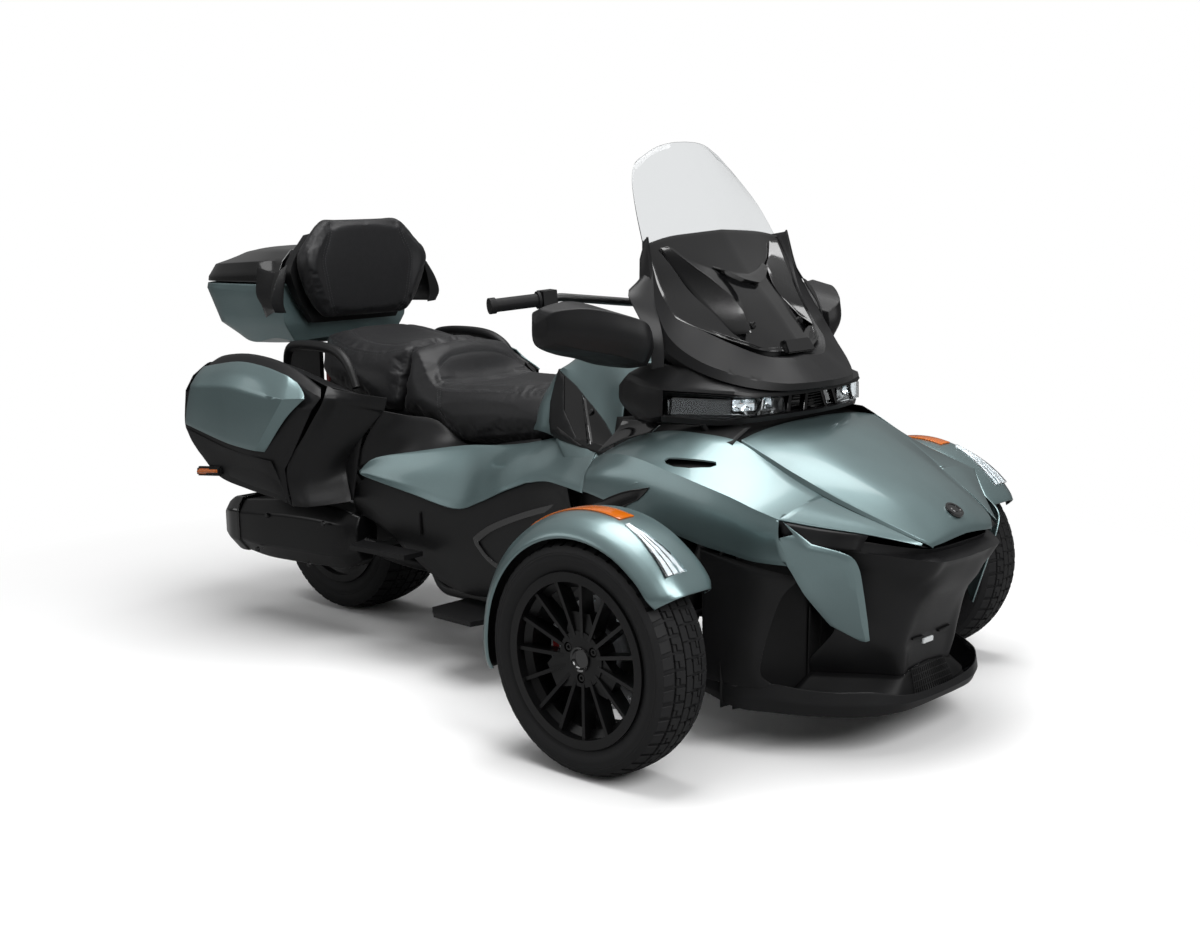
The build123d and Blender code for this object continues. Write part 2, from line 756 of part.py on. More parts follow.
def pannier_hull(inset):
    """The left pannier's outer form, or its inside when it is moved in by a wall thickness."""
    inner, shoulder, outer = PANNIER_Y
    middle = Vector(-690, 0, 640)

    def ring(outline, y, k):
        return [(middle.X + (x - middle.X) * k, y, middle.Z + (z - middle.Z) * k) for x, z in outline]

    shrink = 1 - inset / 190
    return facet_hull([
        ring(PANNIER_IN, inner + inset, shrink),
        ring(PANNIER_OUT, shoulder, shrink),
        ring(PANNIER_OUT, outer - inset, 0.93 * shrink),
    ])


def pannier_split(gap):
    """The region outboard and behind the seam that the left lid takes."""
    return prism_y([
        (-1200, 380), (-545 - gap, 380), (-620 - gap, 560), (-560 - gap, 700), (-500 - gap, 900),
        (-1200, 900),
    ], 412 + gap, 700)


def pannier_wall():
    return pannier_hull(0).cut(pannier_hull(PANEL))


def pannier_shell():
    return pannier_wall().cut(pannier_split(0))


def pannier_lid():
    return pannier_wall() & pannier_split(LID_GAP)


def grab_handle():
    bar = bent_tube([
        (-840, 290, 800), (-810, 306, 888), (-570, 312, 892), (-484, 324, 862), (-452, 331, 780),
    ], 13, 30)
    return bar.cut(pannier_hull(0))


PLATE_X = -1416.5  # rear face of the plate carrier, the rearmost point
PLATE_Z = 475.0
PLATE_BOLTS = (145.0, 80.0)


def tail_fascia():
    """The rear mudguard between the panniers, with a blank plate carrier at its end."""
    guard = panel(
        [full([(-1080, 0, 700), (-1080, 120, 690), (-1080, 150, 620)]),
         full([(-1180, 0, 640), (-1180, 120, 630), (-1180, 150, 560)]),
         full([(-1290, 0, 540), (-1290, 110, 530), (-1290, 140, 470)]),
         full([(-1400, 0, 420), (-1400, 100, 412), (-1400, 125, 380)])],
        core=(-1000, 0, 400))
    deck = box((-1080, -150, 719.5), (-840, 150, 727))
    carrier = [box((-1060, side * 110 - 8, 727), (-900, side * 110 + 8, 871.7)) for side in (-1, 1)]
    root = box((-1084, -120, 690), (-1066, 120, 722))
    plate = box((PLATE_X, -100, 395), (PLATE_X + 4, 100, 530))
    arms = [box((PLATE_X + 3, side * 60 - 5, 400), (-1330, side * 60 + 5, 440)) for side in (-1, 1)]
    mudguard = fuse_all([guard, deck, *carrier, root, plate, *arms])
    for y in (-PLATE_BOLTS[0] / 2, PLATE_BOLTS[0] / 2):
        for z in (PLATE_Z - PLATE_BOLTS[1] / 2, PLATE_Z + PLATE_BOLTS[1] / 2):
            mudguard = mudguard.cut(rod((PLATE_X - 5, y, z), (PLATE_X + 10, y, z), 3.5))
    return mudguard


def tail_light():
    return box((-1100, 60, 700), (-1084.3, 150, 760))


# ---------------------------------------------------------------- running gear
KINGPIN_Y = FRONT_TRACK / 2 - KINGPIN_OFFSET
WHEEL_Y = FRONT_TRACK / 2
BAR_R = 11.0
GRIP_START = (372, 300, 1070)
GRIP_END = (292, 470, 1056)
GRIP_LENGTH = 128.0
RAIL_TOP = 399.0
RAIL_LOW = 150.0
PIVOT_Y = 196.0
PIVOT_X = -430.0  # swingarm pivot
PIVOT_Z = 310.0
ENGINE_HALF = 128.0
RACK_X = 932.0
RACK_Z = 330.0
FRONT_POST_X = 980.0
REAR_POST_X = 740.0


def brake_disc():
    """A drilled disc on a plain bell, centred on the axle, offset inboard."""
    ring = Rot(90, 0, 0) * (Cylinder(DISC_R, DISC_T) - Cylinder(86, DISC_T))
    bell = Rot(90, 0, 0) * (Cylinder(88, DISC_T) - Cylinder(42, DISC_T))
    reach = DISC_OFFSET + HUB_SETBACK - SEAT_GAP
    carrier = Pos(0, reach / 2, 0) * Rot(90, 0, 0) * (Cylinder(60, reach) - Cylinder(42, reach))
    disc = fuse_all([ring, bell, carrier])
    holes = []
    for i in range(12):
        for r, turn in ((98, 0), (111, 10), (124, 20)):
            spot = Rot(0, 30 * i + turn, 0) * Pos(r, 0, 0) * Rot(90, 0, 0)
            holes.append(spot * Cylinder(4.5, 20))
    return disc.cut(*holes)


def at_front_wheel(shape):
    """Moves a piece modelled about the axle to the left front wheel; its outboard side is turned to +Y."""
    return Pos(FRONT_AXLE_X, WHEEL_Y, FRONT_TYRE_R) * (Rot(0, 0, 180) * shape)


def front_fender():
    """The left cycle fender, lofted through radial sections round the axle."""
    profile = [(592, 314), (604, 332), (650, 339), (700, 339), (742, 331), (766, 314), (776, 292)]
    stations = [
        (27, 1.0), (40, 1.0), (65, 1.0), (90, 0.995), (115, 1.0), (140, 1.0), (165, 1.0), (192, 1.0),
    ]
    rows = []
    for angle, k in stations:
        c, s = cos(radians(angle)), sin(radians(angle))
        row = []
        for y, r in profile:
            reach = r * k
            row.append((FRONT_AXLE_X + reach * c, y, FRONT_TYRE_R + reach * s))
        rows.append(row)
    return panel(rows, wall=3.5, core=(FRONT_AXLE_X, 690, FRONT_TYRE_R), creases=(5,))


def fender_lamp():
    """The clear lamp let into the front of the left fender."""
    rows = []
    for angle in (38, 50, 62, 72):
        c, s = cos(radians(angle)), sin(radians(angle))
        half = 8 + (72 - angle) * 0.55
        rows.append([(FRONT_AXLE_X + 345 * c, 700 + k * half, FRONT_TYRE_R + 345 * s) for k in (-1, 0, 1)])
    return panel(rows, wall=4.5, core=(FRONT_AXLE_X, 700, FRONT_TYRE_R))


def knuckle():
    """The left upright with its stub axle, steering arm, caliper and fender stay."""
    z = FRONT_TYRE_R
    post = rod(
        (FRONT_AXLE_X, KINGPIN_Y, z - BALL_RISE + 14), (FRONT_AXLE_X, KINGPIN_Y, z + BALL_RISE - 14),
        17,
    )
    stub = rod((FRONT_AXLE_X, KINGPIN_Y - 20, z), (FRONT_AXLE_X, WHEEL_Y + 46, z), HUB_BORE_R - SEAT_GAP)
    arm = rod((FRONT_AXLE_X, KINGPIN_Y - 22, RACK_Z), (RACK_X, KINGPIN_Y - 22, RACK_Z), 11)
    arm_root = rod((FRONT_AXLE_X, KINGPIN_Y, RACK_Z), (FRONT_AXLE_X, KINGPIN_Y - 22, RACK_Z), 11)
    disc_y = WHEEL_Y - DISC_OFFSET
    grip = DISC_T / 2 + 1.2
    caliper = prism_y([
        (700, 245), (728, 235), (752, 245), (752, 325), (728, 335), (700, 325),
    ], disc_y - 26, disc_y + 24)
    slot = box((690, disc_y - grip, 200), (790, disc_y + grip, 360))
    caliper = caliper.cut(slot)
    bridge = box((698, disc_y - 26, 250), (704, disc_y + 24, 320))
    hanger = box((735, KINGPIN_Y - 12, 268), (FRONT_AXLE_X, KINGPIN_Y + 4, 294))
    link = box((735, KINGPIN_Y - 12, 262), (750, disc_y - 20, 300))
    stay_y = 596.0
    stays = []
    for angle in (55, 125):
        c, s = cos(radians(angle)), sin(radians(angle))
        stays.append(rod(
            (FRONT_AXLE_X + 20 * c, stay_y, z + 20 * s), (FRONT_AXLE_X + 312 * c, stay_y, z + 312 * s),
            6,
        ))
    boss = rod((FRONT_AXLE_X, stay_y - 8, z), (FRONT_AXLE_X, KINGPIN_Y, z), 30)
    return fuse_all([post, stub, arm, arm_root, boss, caliper, bridge, hanger, link, *stays])


def control_arm(rise):
    """The left upper or lower arm, from its frame pivots to the ball joint."""
    z = FRONT_TYRE_R + rise
    apex = (FRONT_AXLE_X, KINGPIN_Y, z)
    arms = [rod((x, PIVOT_Y, z), apex, 10) for x in (752, 932)]
    pivot = rod((744, PIVOT_Y, z), (940, PIVOT_Y, z), 13)
    ball = rod((FRONT_AXLE_X, KINGPIN_Y, z - 13.7), (FRONT_AXLE_X, KINGPIN_Y, z + 13.7), 20)
    trimmed = fuse_all([*arms, pivot, ball])
    return trimmed


def tie_rods():
    """The steering rack's bar with a tie rod at each end; its eyes lie just over the steering arms."""
    bar = rod((RACK_X, -245, RACK_Z), (RACK_X, 245, RACK_Z), 9.0)
    rods = []
    eye_z = RACK_Z + 11 + 2 + 8
    for side in (-1, 1):
        rods.append(rod((RACK_X, side * 240, RACK_Z), (RACK_X, side * (KINGPIN_Y - 22), eye_z), 7))
        rods.append(rod((RACK_X, side * 236, RACK_Z), (RACK_X, side * 284, RACK_Z + 2), 13))
        rods.append(rod(
            (RACK_X, side * (KINGPIN_Y - 22), eye_z - 8), (RACK_X, side * (KINGPIN_Y - 22), eye_z + 8),
            13,
        ))
    return fuse_all([bar, *rods])


def rear_rim():
    barrel = rim_barrel(REAR_TYRE_W)
    face = -40.0
    reach = BEAD_R - 18 - RIM_WALL + 3
    hub = Rot(90, 0, 0) * Cylinder(62, 120)
    spokes = []
    for i in range(10):
        plate = box((50, face, -7), (reach, face + 60, 7))
        spokes.append(Rot(0, 36 * i, 0) * plate)
    wheel = fuse_all([barrel, hub, *spokes])
    return wheel.cut(Rot(90, 0, 0) * Cylinder(18, 400))


def rear_drive():
    """The belt pulley on the left and the brake disc on the right of the rear wheel."""
    pulley = Pos(0, 83, 0) * Rot(90, 0, 0) * (Cylinder(118, 26) - Cylinder(18.3, 26))
    pulley_boss = Pos(0, 67.2, 0) * Rot(90, 0, 0) * (Cylinder(44, 14) - Cylinder(18.3, 14))
    disc = Pos(0, -82, 0) * Rot(90, 0, 0) * (Cylinder(135, 6) - Cylinder(18.3, 6))
    disc_boss = Pos(0, -71.2, 0) * Rot(90, 0, 0) * (Cylinder(44, 22) - Cylinder(18.3, 22))
    return fuse_all([pulley, pulley_boss]), fuse_all([disc, disc_boss])


def swingarm():
    z = REAR_TYRE_R
    arms = []
    for y in (-146, 146):
        arms.append(prism_y([
            (-890, z - 26), (-890, z + 26), (-850, z + 36), (-500, 338), (-500, 282), (-850, z - 36),
        ], y - 14, y + 14))
    tube = rod((PIVOT_X, -131.5, PIVOT_Z), (PIVOT_X, 131.5, PIVOT_Z), 20)
    axle = rod((REAR_AXLE_X, -150, z), (REAR_AXLE_X, 150, z), 17.7)
    brace = box((-545, -140, 285), (-500, 140, 335))
    yoke = box((-510, -118, 294), (PIVOT_X, 118, 326))
    return fuse_all([*arms, tube, axle, brace, yoke])


def rear_shock():
    body = rod((-470, 0, 354), (-330, 0, 560), 32)
    lower_eye = rod((-474, -20, 346), (-474, 20, 346), 19.5)
    top_end = Vector(-330, 0, 560)
    way = Vector(140, 0, 206).normalized()
    return fuse_all([body, lower_eye, rod(top_end, top_end + way * 20.6, 12)])


# ---------------------------------------------------------------- frame
def shock_tube():
    return rod((842, 236, 540), (842, 446, 169), 30)


def front_shock():
    """A front spring and damper, standing on the lower wishbone."""
    return shock_tube().cut(control_arm(-BALL_RISE))


def stay(start, way, target, radius=8):
    """A stay that runs until it meets the near face of a panel and ends flush against it."""
    origin = Vector(*start)
    heading = Vector(*way).normalized()
    hits = target.find_intersection_points(Axis(start, way))
    reaches = sorted((p - origin).dot(heading) for p, _ in hits)
    reach = next(r for r in reaches if r > 0)
    return rod(start, origin + heading * (reach + 1.5), radius).cut(target)


def frame_tubes():
    lower = bent_tube([
        (FRONT_POST_X + 10, SPINE_Y, RAIL_LOW), (-300, SPINE_Y, 165), (-376, SPINE_Y, 300),
        (-500, SPINE_Y, 610),
    ], TUBE_R, 60)
    lug = box((PIVOT_X - 22, SPINE_Y - 18, PIVOT_Z - 22), (-376, SPINE_Y + 14, PIVOT_Z + 22))
    upper = bent_tube([
        (FRONT_POST_X + 10, SPINE_Y, RAIL_TOP), (700, SPINE_Y, RAIL_TOP), (420, SPINE_Y, 610),
        (-280, SPINE_Y, 610), (-900, SPINE_Y, 700),
    ], TUBE_R, 110)
    feet = [(x, SPINE_Y, RAIL_LOW) for x in (REAR_POST_X, FRONT_POST_X)]
    posts = [rod((x, y, z), (x, y, RAIL_TOP), TUBE_R) for x, y, z in feet]
    plate = box((RACK_X - 24, SPINE_Y - 6, RAIL_LOW), (RACK_X + 24, SPINE_Y + 6, RAIL_TOP))
    brackets = []
    for z in (FRONT_TYRE_R - BALL_RISE, FRONT_TYRE_R + BALL_RISE):
        for x in (760, 925):
            brackets.append(box((x - 12, SPINE_Y, z - 14), (x + 12, PIVOT_Y - 13 - SEAT_GAP, z + 14)))
    shock_mount = box((824, SPINE_Y, 534), (860, 246, 566)).cut(shock_tube())
    shock_leg = rod((842, SPINE_Y + 8, RAIL_TOP), (842, SPINE_Y + 8, 560), 14)
    jack_pad = box((60, 120, 126), (140, 180, 150))
    engine_mounts = [box((x, ENGINE_HALF + SEAT_GAP, 152), (x + 50, SPINE_Y, 260)) for x in (-60, 310)]
    side = [lower, lug, upper, *posts, plate, *brackets, shock_mount, shock_leg, jack_pad, *engine_mounts]
    rails = []
    for part in side:
        rails += both(part)
    places = [
        (REAR_POST_X, RAIL_LOW), (REAR_POST_X, RAIL_TOP), (FRONT_POST_X, RAIL_LOW),
        (FRONT_POST_X, RAIL_TOP),
    ]
    places += [(420, 610), (-300, 165), (-370, 300), (-310, 590), (-560, 648), (-850, 689)]
    cross = [rod((x, -SPINE_Y, z), (x, SPINE_Y, z), 15) for x, z in places]
    return rails + cross


def largest(shape):
    return max(shape.solids(), key=lambda solid: solid.volume)


def panel_stays(frame, pieces):
    """Pairs of rods between the frame and the panels it carries, trimmed to both."""
    runs = [
        ("rider_seat", (-100, SPINE_Y, 612), (0, 0, 1)),
        ("passenger_seat", (-650, SPINE_Y, 664), (0, 0, 1)),
        ("pannier_shell", (-700, SPINE_Y, 671), (0, 1, 0)),
        ("pannier_shell", (-850, SPINE_Y, 689), (0, 1, 0)),
        ("side_panel", (150, SPINE_Y, 612), (0, 1, 0)),
        ("console", (430, SPINE_Y, 606), (0, 100, 150)),
        ("side_fairing", (FRONT_POST_X, SPINE_Y, RAIL_TOP), (0, 280, 221)),
        ("bumper_side", (FRONT_POST_X, SPINE_Y, 380), (120, 1000, 200)),
        ("lamp_housing", (842, SPINE_Y + 8, 558), (0, 137, 213)),
        ("trunk_tub", (FRONT_POST_X, SPINE_Y, 360), (1, 0, 0)),
        ("chin_splitter", (985, SPINE_Y, RAIL_LOW), (80, 0, -100)),
    ]
    stays = []
    for name, start, way in runs:
        stays += both(largest(stay(start, way, pieces[name]).cut(frame)))
    stays.append(largest(stay(DISPLAY_STAY, (100, 0, 55), pieces["dashboard"]).cut(frame)))
    return stays


def head_tube():
    """The steering head and its two legs down to the top rails."""
    sleeve = rod(along_stem(-190), along_stem(-60), 27)
    foot = along_stem(-170)
    legs = [rod((foot.X, side * 10, foot.Z), (420, side * SPINE_Y, 610), 14) for side in (-1, 1)]
    legs += [rod((foot.X, side * 10, foot.Z), (640, side * SPINE_Y, 445), 14) for side in (-1, 1)]
    return [sleeve, *legs]


def handlebar():
    """The bar, its clamp and its stem, which turns in the steering head."""
    side = bent_tube([(462, 0, 1046), (455, 120, 1048), GRIP_START, GRIP_END], BAR_R, 60)
    stem = rod(along_stem(-185), along_stem(62), 14.7)
    clamp = box((440, -44, 1026), (486, 44, 1062))
    return fuse_all([side, other_side(side), stem, clamp])


def on_grip(distance):
    """A plane on the left grip's axis, so far out from the bar's bend; Z points outwards."""
    start, end = Vector(*GRIP_START), Vector(*GRIP_END)
    way = (end - start).normalized()
    return Plane(origin=start + way * distance, z_dir=way)


def grip():
    length = (Vector(*GRIP_END) - Vector(*GRIP_START)).length
    first = length - GRIP_LENGTH
    sleeve = Solid.make_cylinder(17.5, GRIP_LENGTH, on_grip(first))
    flange = Solid.make_cylinder(23, 7, on_grip(first))
    end = Solid.make_cylinder(21, 16, on_grip(length - 6))
    bore = Solid.make_cylinder(BAR_R + SEAT_GAP, length + SEAT_GAP, on_grip(0))
    return fuse_all([sleeve, flange, end]).cut(bore)


def switch_pod():
    shell = on_grip(38) * Box(50, 46, 38)
    return shell.cut(Solid.make_cylinder(BAR_R + SEAT_GAP, 90, on_grip(0)))


# ---------------------------------------------------------------- power, floor and luggage carriers
def engine_block():
    return box((-120, -ENGINE_HALF, 190), (400, ENGINE_HALF, 560))


def exhaust():
    """The muffler on the right with its pipe from the engine."""
    def ring(x, y, z, ry, rz):
        k = 0.72
        return [
            (x, y + ry, z), (x, y + ry * k, z + rz * k), (x, y, z + rz), (x, y - ry * k, z + rz * k),
            (x, y - ry, z), (x, y - ry * k, z - rz * k), (x, y, z - rz), (x, y + ry * k, z - rz * k),
        ]
    can = hull_of([
        ring(-480, -292, 300, 48, 46), ring(-560, -300, 310, 72, 70), ring(-720, -312, 318, 88, 92),
        ring(-900, -322, 312, 86, 88), ring(-1060, -330, 300, 62, 60),
    ])
    pipe = bent_tube([(-120.3, -100, 225), (-250, -100, 225), (-340, -270, 262), (-500, -290, 296)], 22, 40)
    tip = rod((-1050, -330, 300), (-1085, -331, 298), 40)
    return fuse_all([can, tip, pipe])


def trunk_tub():
    """The front luggage bin, open at the top under the lid."""
    def level(z, inset):
        rear, front = 999.3 + inset, 1310 - inset
        wide, slim = 214 - inset, 150 - inset
        return [(rear, -wide, z), (front, -slim, z), (front, slim, z), (rear, wide, z)]
    outer = facet_hull([level(320, 8), level(760, 0)])
    inner = facet_hull([level(320 + PANEL, 8 + PANEL), level(780, PANEL)])
    bin_wall = outer.cut(inner)
    under_lid = prism_y([
        (960, 725), (960, 900), (1500, 900), (1500, 400), (1340, 540), (1300, 572), (1195, 628),
        (1085, 680), (1027, 706),
    ], -400, 400)
    return bin_wall.cut(under_lid)


def footboard():
    plan = [(-70, 262), (160, 262), (168, 330), (140, 448), (-20, 440), (-70, 400)]
    board = prism_z(plan, 178, 192)
    arm = box((20, SPINE_Y + TUBE_R + 0.6, 150), (80, 300, 178))
    return fuse_all([board, arm])


def passenger_footboard():
    plan = [(-430, 350), (-160, 350), (-160, 420), (-400, 424)]
    board = prism_z(plan, 318, 332)
    arm = box((-420, SPINE_Y + TUBE_R + 0.4, 306), (-350, 380, 318))
    return fuse_all([board, arm])


def brake_pedal():
    lever = bent_tube([(60, -190, 142.8), (150, -270, 142.8), (214, -352, 214)], 7, 24)
    pad = box((204, -392, 206), (230, -330, 222))
    return fuse_all([lever, pad])


def backrest_shell():
    """The plastic shell behind the passenger's back, with an armrest pod each side."""
    plate = box((-879.6, -180, 940), (-865.6, 180, 1240))
    plan = [
        (-866, 150), (-790, 262), (-775, 300), (-800, 342), (-1000, 310), (-1000, 277), (-878, 277),
        (-878, 150),
    ]
    pod = prism_z(plan, 985, 1140)
    return fuse_all([plate, *both(pod)])


# ---------------------------------------------------------------- assembly
def build():
    hood = trunk_lid()
    save("trunk_lid", hood)
    fairing = side_fairing()
    save("side_fairings", *both(fairing))
    fascia = nose_fascia()
    save("nose_fascia", fascia)
    bumper = bumper_side()
    save("bumper_sides", *both(bumper))
    lip = chin_splitter()
    save("chin_splitter", lip)
    tank = console()
    save("console", tank)
    save("console_trims", *both(console_trim()))
    flank = side_panel()
    save("side_panels", *both(flank))
    save("lower_covers", *both(lower_cover()), *both(seat_side_cover()))
    cowl = upper_cowl()
    save("upper_cowl", cowl)
    props = both(stay((800, 296, 836), (0, 0, 1), cowl))
    lamps = fuse_all([lamp_housing(), *props])
    save("lamp_housing", lamps)
    save("headlights", *both(headlight()))
    save("centre_grille", centre_grille())
    save("windshield", windshield())
    screen_base = windshield_panel()
    save("windshield_panel", screen_base)
    display = fuse_all([dashboard(), *both(stay((700, 100, 1000), (1, 0, 0), screen_base))])
    save("dashboard", display)
    pod = fuse_all([mirror_pod(), stay((650, 425, 965), (0, -1, 0), cowl, 14)])
    save("mirror_pods", *both(pod))
    save("mirror_glasses", *both(mirror_glass()))
    seat = rider_seat()
    save("rider_seat", seat)
    pillion = passenger_seat()
    save("passenger_seat", pillion)
    pad = backrest_pad()
    save("backrest_pad", pad)
    save("backrest_shell", largest(backrest_shell().cut(pad, Pos(-0.4, 0, 0) * pad)))
    save("topcase_shell", topcase_shell())
    save("topcase_lid", topcase_lid())
    case = pannier_shell()
    save("pannier_shells", *both(case))
    lid = pannier_lid()
    save("pannier_lid_left", lid)
    save("pannier_lid_right", other_side(lid))
    save("grab_handles", *both(grab_handle()))
    save("tail_fascia", tail_fascia())
    save("tail_lights", *both(tail_light()))
    save("engine_block", engine_block())
    save("exhaust", exhaust())
    tub = fuse_all([trunk_tub(), *both(stay((1300.5, 80, 400), (1, 0, 0), fascia, 10))])
    save("trunk_tub", tub)
    save("footboards", *both(footboard()), *both(passenger_footboard()))
    save("brake_pedal", brake_pedal())
    save("swingarm", swingarm())
    save("shocks", rear_shock(), *both(front_shock()))
    save("control_arms", *[arm for rise in (-BALL_RISE, BALL_RISE) for arm in both(control_arm(rise))])
    save("tie_rods", tie_rods())
    save("handlebar", handlebar())
    save("grips", *both(grip()))
    save("switch_pods", *both(switch_pod()))
    bore = rod((RACK_X, -300, RACK_Z), (RACK_X, 300, RACK_Z), 10.5)
    sleeve = rod((RACK_X, -185, RACK_Z), (RACK_X, 185, RACK_Z), 20)
    stem_bore = rod(along_stem(-260), along_stem(60), 15)
    frame = fuse_all([*frame_tubes(), sleeve, *head_tube()]).cut(bore, stem_bore)
    save("frame", frame)
    carried = {
        "rider_seat": seat,
        "passenger_seat": pillion,
        "pannier_shell": case,
        "side_panel": flank,
        "console": tank,
        "side_fairing": fairing,
        "bumper_side": bumper,
        "lamp_housing": lamps,
        "trunk_tub": tub,
        "chin_splitter": lip,
        "dashboard": display,
    }
    save("panel_stays", *panel_stays(frame, carried))

    for side in ("left", "right"):
        place = same_side if side == "left" else other_side
        save(f"knuckle_{side}", place(knuckle()))
        save(f"front_fender_{side}", place(front_fender()))
        save(f"fender_lamp_{side}", place(fender_lamp()))
        save(f"front_tyre_{side}", place(at_front_wheel(tyre(FRONT_TYRE_R, FRONT_TYRE_W))))
        save(f"front_rim_{side}", place(at_front_wheel(front_rim())))
        disc = Pos(FRONT_AXLE_X, WHEEL_Y - DISC_OFFSET, FRONT_TYRE_R) * brake_disc()
        save(f"brake_disc_{side}", place(disc))

    rear = Pos(REAR_AXLE_X, 0, REAR_TYRE_R)
    save("rear_tyre", rear * tyre(REAR_TYRE_R, REAR_TYRE_W))
    save("rear_rim", rear * rear_rim())
    save("rear_drive", *[rear * piece for piece in rear_drive()])


if __name__ == "__main__":
    build()
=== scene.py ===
import json
import math

import bmesh
import bpy
from mathutils import Matrix, Vector


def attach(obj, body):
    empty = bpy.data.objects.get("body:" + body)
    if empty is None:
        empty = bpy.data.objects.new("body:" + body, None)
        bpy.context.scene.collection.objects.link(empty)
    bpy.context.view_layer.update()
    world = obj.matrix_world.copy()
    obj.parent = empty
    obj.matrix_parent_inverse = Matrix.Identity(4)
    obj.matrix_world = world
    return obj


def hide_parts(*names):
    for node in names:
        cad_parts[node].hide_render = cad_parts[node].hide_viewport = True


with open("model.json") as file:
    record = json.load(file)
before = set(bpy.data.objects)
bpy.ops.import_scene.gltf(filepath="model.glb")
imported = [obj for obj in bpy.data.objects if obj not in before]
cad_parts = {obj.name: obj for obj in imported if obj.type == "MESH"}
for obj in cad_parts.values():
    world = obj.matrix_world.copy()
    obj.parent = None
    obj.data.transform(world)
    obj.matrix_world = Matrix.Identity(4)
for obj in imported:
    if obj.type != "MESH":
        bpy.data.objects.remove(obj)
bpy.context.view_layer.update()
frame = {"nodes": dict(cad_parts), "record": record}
cadNodes = frame["nodes"]


# colours are written as sRGB hex and turned to linear here, and nowhere else
def hexColour(code):
    channels = [int(code[i : i + 2], 16) / 255 for i in (1, 3, 5)]
    linear = [c / 12.92 if c <= 0.04045 else ((c + 0.055) / 1.055) ** 2.4 for c in channels]
    return (*linear, 1.0)


# one node with its settings; an input takes a value or the socket that feeds it
def addNode(tree, kind, settings=None, **inputs):
    node = tree.nodes.new(kind)
    for name, value in (settings or {}).items():
        setattr(node, name, value)
    for name, value in inputs.items():
        key = int(name[1:]) if name[0] == "i" and name[1:].isdigit() else name.replace("_", " ")
        if isinstance(value, bpy.types.NodeSocket):
            tree.links.new(value, node.inputs[key])
        else:
            node.inputs[key].default_value = value
    return node


def newMaterial(name):
    material = bpy.data.materials.new(name)
    material.use_nodes = True
    material.node_tree.nodes.clear()
    return material, material.node_tree


# a pattern's scale from the real width of its grain in millimetres
def grain(widthMm):
    return 1000.0 / widthMm


# sprayed metallic lacquer under a satin clear coat: fine aluminium flake, soft wide highlights
def metallicPaint(name, dark, light, roughness):
    material, tree = newMaterial(name)
    place = addNode(tree, "ShaderNodeTexCoord").outputs["Object"]
    # real flake is 0.05 mm; drawn coarser so that it shows
    flake = addNode(tree, "ShaderNodeTexNoise", Vector=place, Scale=grain(0.9), Detail=1.0)
    cloud = addNode(tree, "ShaderNodeTexNoise", Vector=place, Scale=grain(260.0), Detail=2.0)  # slow drift of the spray
    drift = addNode(tree, "ShaderNodeMapRange", Value=cloud.outputs[0], To_Min=0.1, To_Max=0.55)
    share = addNode(
        tree, "ShaderNodeMath", {"operation": "MULTIPLY_ADD"}, i0=flake.outputs[0], i1=0.35, i2=drift.outputs[0]
    )
    colour = addNode(
        tree, "ShaderNodeMix", {"data_type": "RGBA"}, i0=share.outputs[0], i6=hexColour(dark), i7=hexColour(light)
    )
    bump = addNode(tree, "ShaderNodeBump", Strength=0.04, Distance=0.0002, Height=flake.outputs[0])
    shader = addNode(
        tree, "ShaderNodeBsdfPrincipled", Base_Color=colour.outputs[2], Metallic=0.74, Roughness=roughness,
        Normal=bump.outputs[0], Coat_Weight=0.5, Coat_Roughness=0.1,
    )
    addNode(tree, "ShaderNodeOutputMaterial", Surface=shader.outputs[0])
    return material


# injection-moulded plastic with a spark-eroded grain, which dulls it and breaks up its highlights
def mouldedPlastic(name, dark, light, roughness, grainMm, depth=0.12):
    material, tree = newMaterial(name)
    place = addNode(tree, "ShaderNodeTexCoord").outputs["Object"]
    sparks = addNode(tree, "ShaderNodeTexNoise", Vector=place, Scale=grain(grainMm), Detail=3.0)
    cloud = addNode(tree, "ShaderNodeTexNoise", Vector=place, Scale=grain(90.0), Detail=2.0)
    colour = addNode(
        tree, "ShaderNodeMix", {"data_type": "RGBA"}, i0=cloud.outputs[0], i6=hexColour(dark), i7=hexColour(light)
    )
    dull = addNode(
        tree, "ShaderNodeMapRange", Value=cloud.outputs[0], To_Min=roughness - 0.05, To_Max=roughness + 0.05
    )
    bump = addNode(tree, "ShaderNodeBump", Strength=depth, Distance=0.0003, Height=sparks.outputs[0])
    shader = addNode(
        tree,
        "ShaderNodeBsdfPrincipled",
        Base_Color=colour.outputs[2],
        Roughness=dull.outputs[0],
        IOR=1.5,
        Specular_IOR_Level=0.3,  # the grain shades its own valleys
        Normal=bump.outputs[0],
    )
    addNode(tree, "ShaderNodeOutputMaterial", Surface=shader.outputs[0])
    return material


# polished ABS or painted gloss: mirror-like with a faint orange peel
def glossPlastic(name, colour, roughness=0.08):
    material, tree = newMaterial(name)
    place = addNode(tree, "ShaderNodeTexCoord").outputs["Object"]
    peel = addNode(tree, "ShaderNodeTexNoise", Vector=place, Scale=grain(9.0), Detail=1.0)
    shine = addNode(
        tree, "ShaderNodeMapRange", Value=peel.outputs[0], To_Min=roughness * 0.8, To_Max=roughness * 1.3
    )
    bump = addNode(tree, "ShaderNodeBump", Strength=0.03, Distance=0.0004, Height=peel.outputs[0])
    shader = addNode(
        tree, "ShaderNodeBsdfPrincipled", Base_Color=hexColour(colour), Roughness=shine.outputs[0], IOR=1.54,
        Normal=bump.outputs[0], Coat_Weight=0.6, Coat_Roughness=0.04,
    )
    addNode(tree, "ShaderNodeOutputMaterial", Surface=shader.outputs[0])
    return material


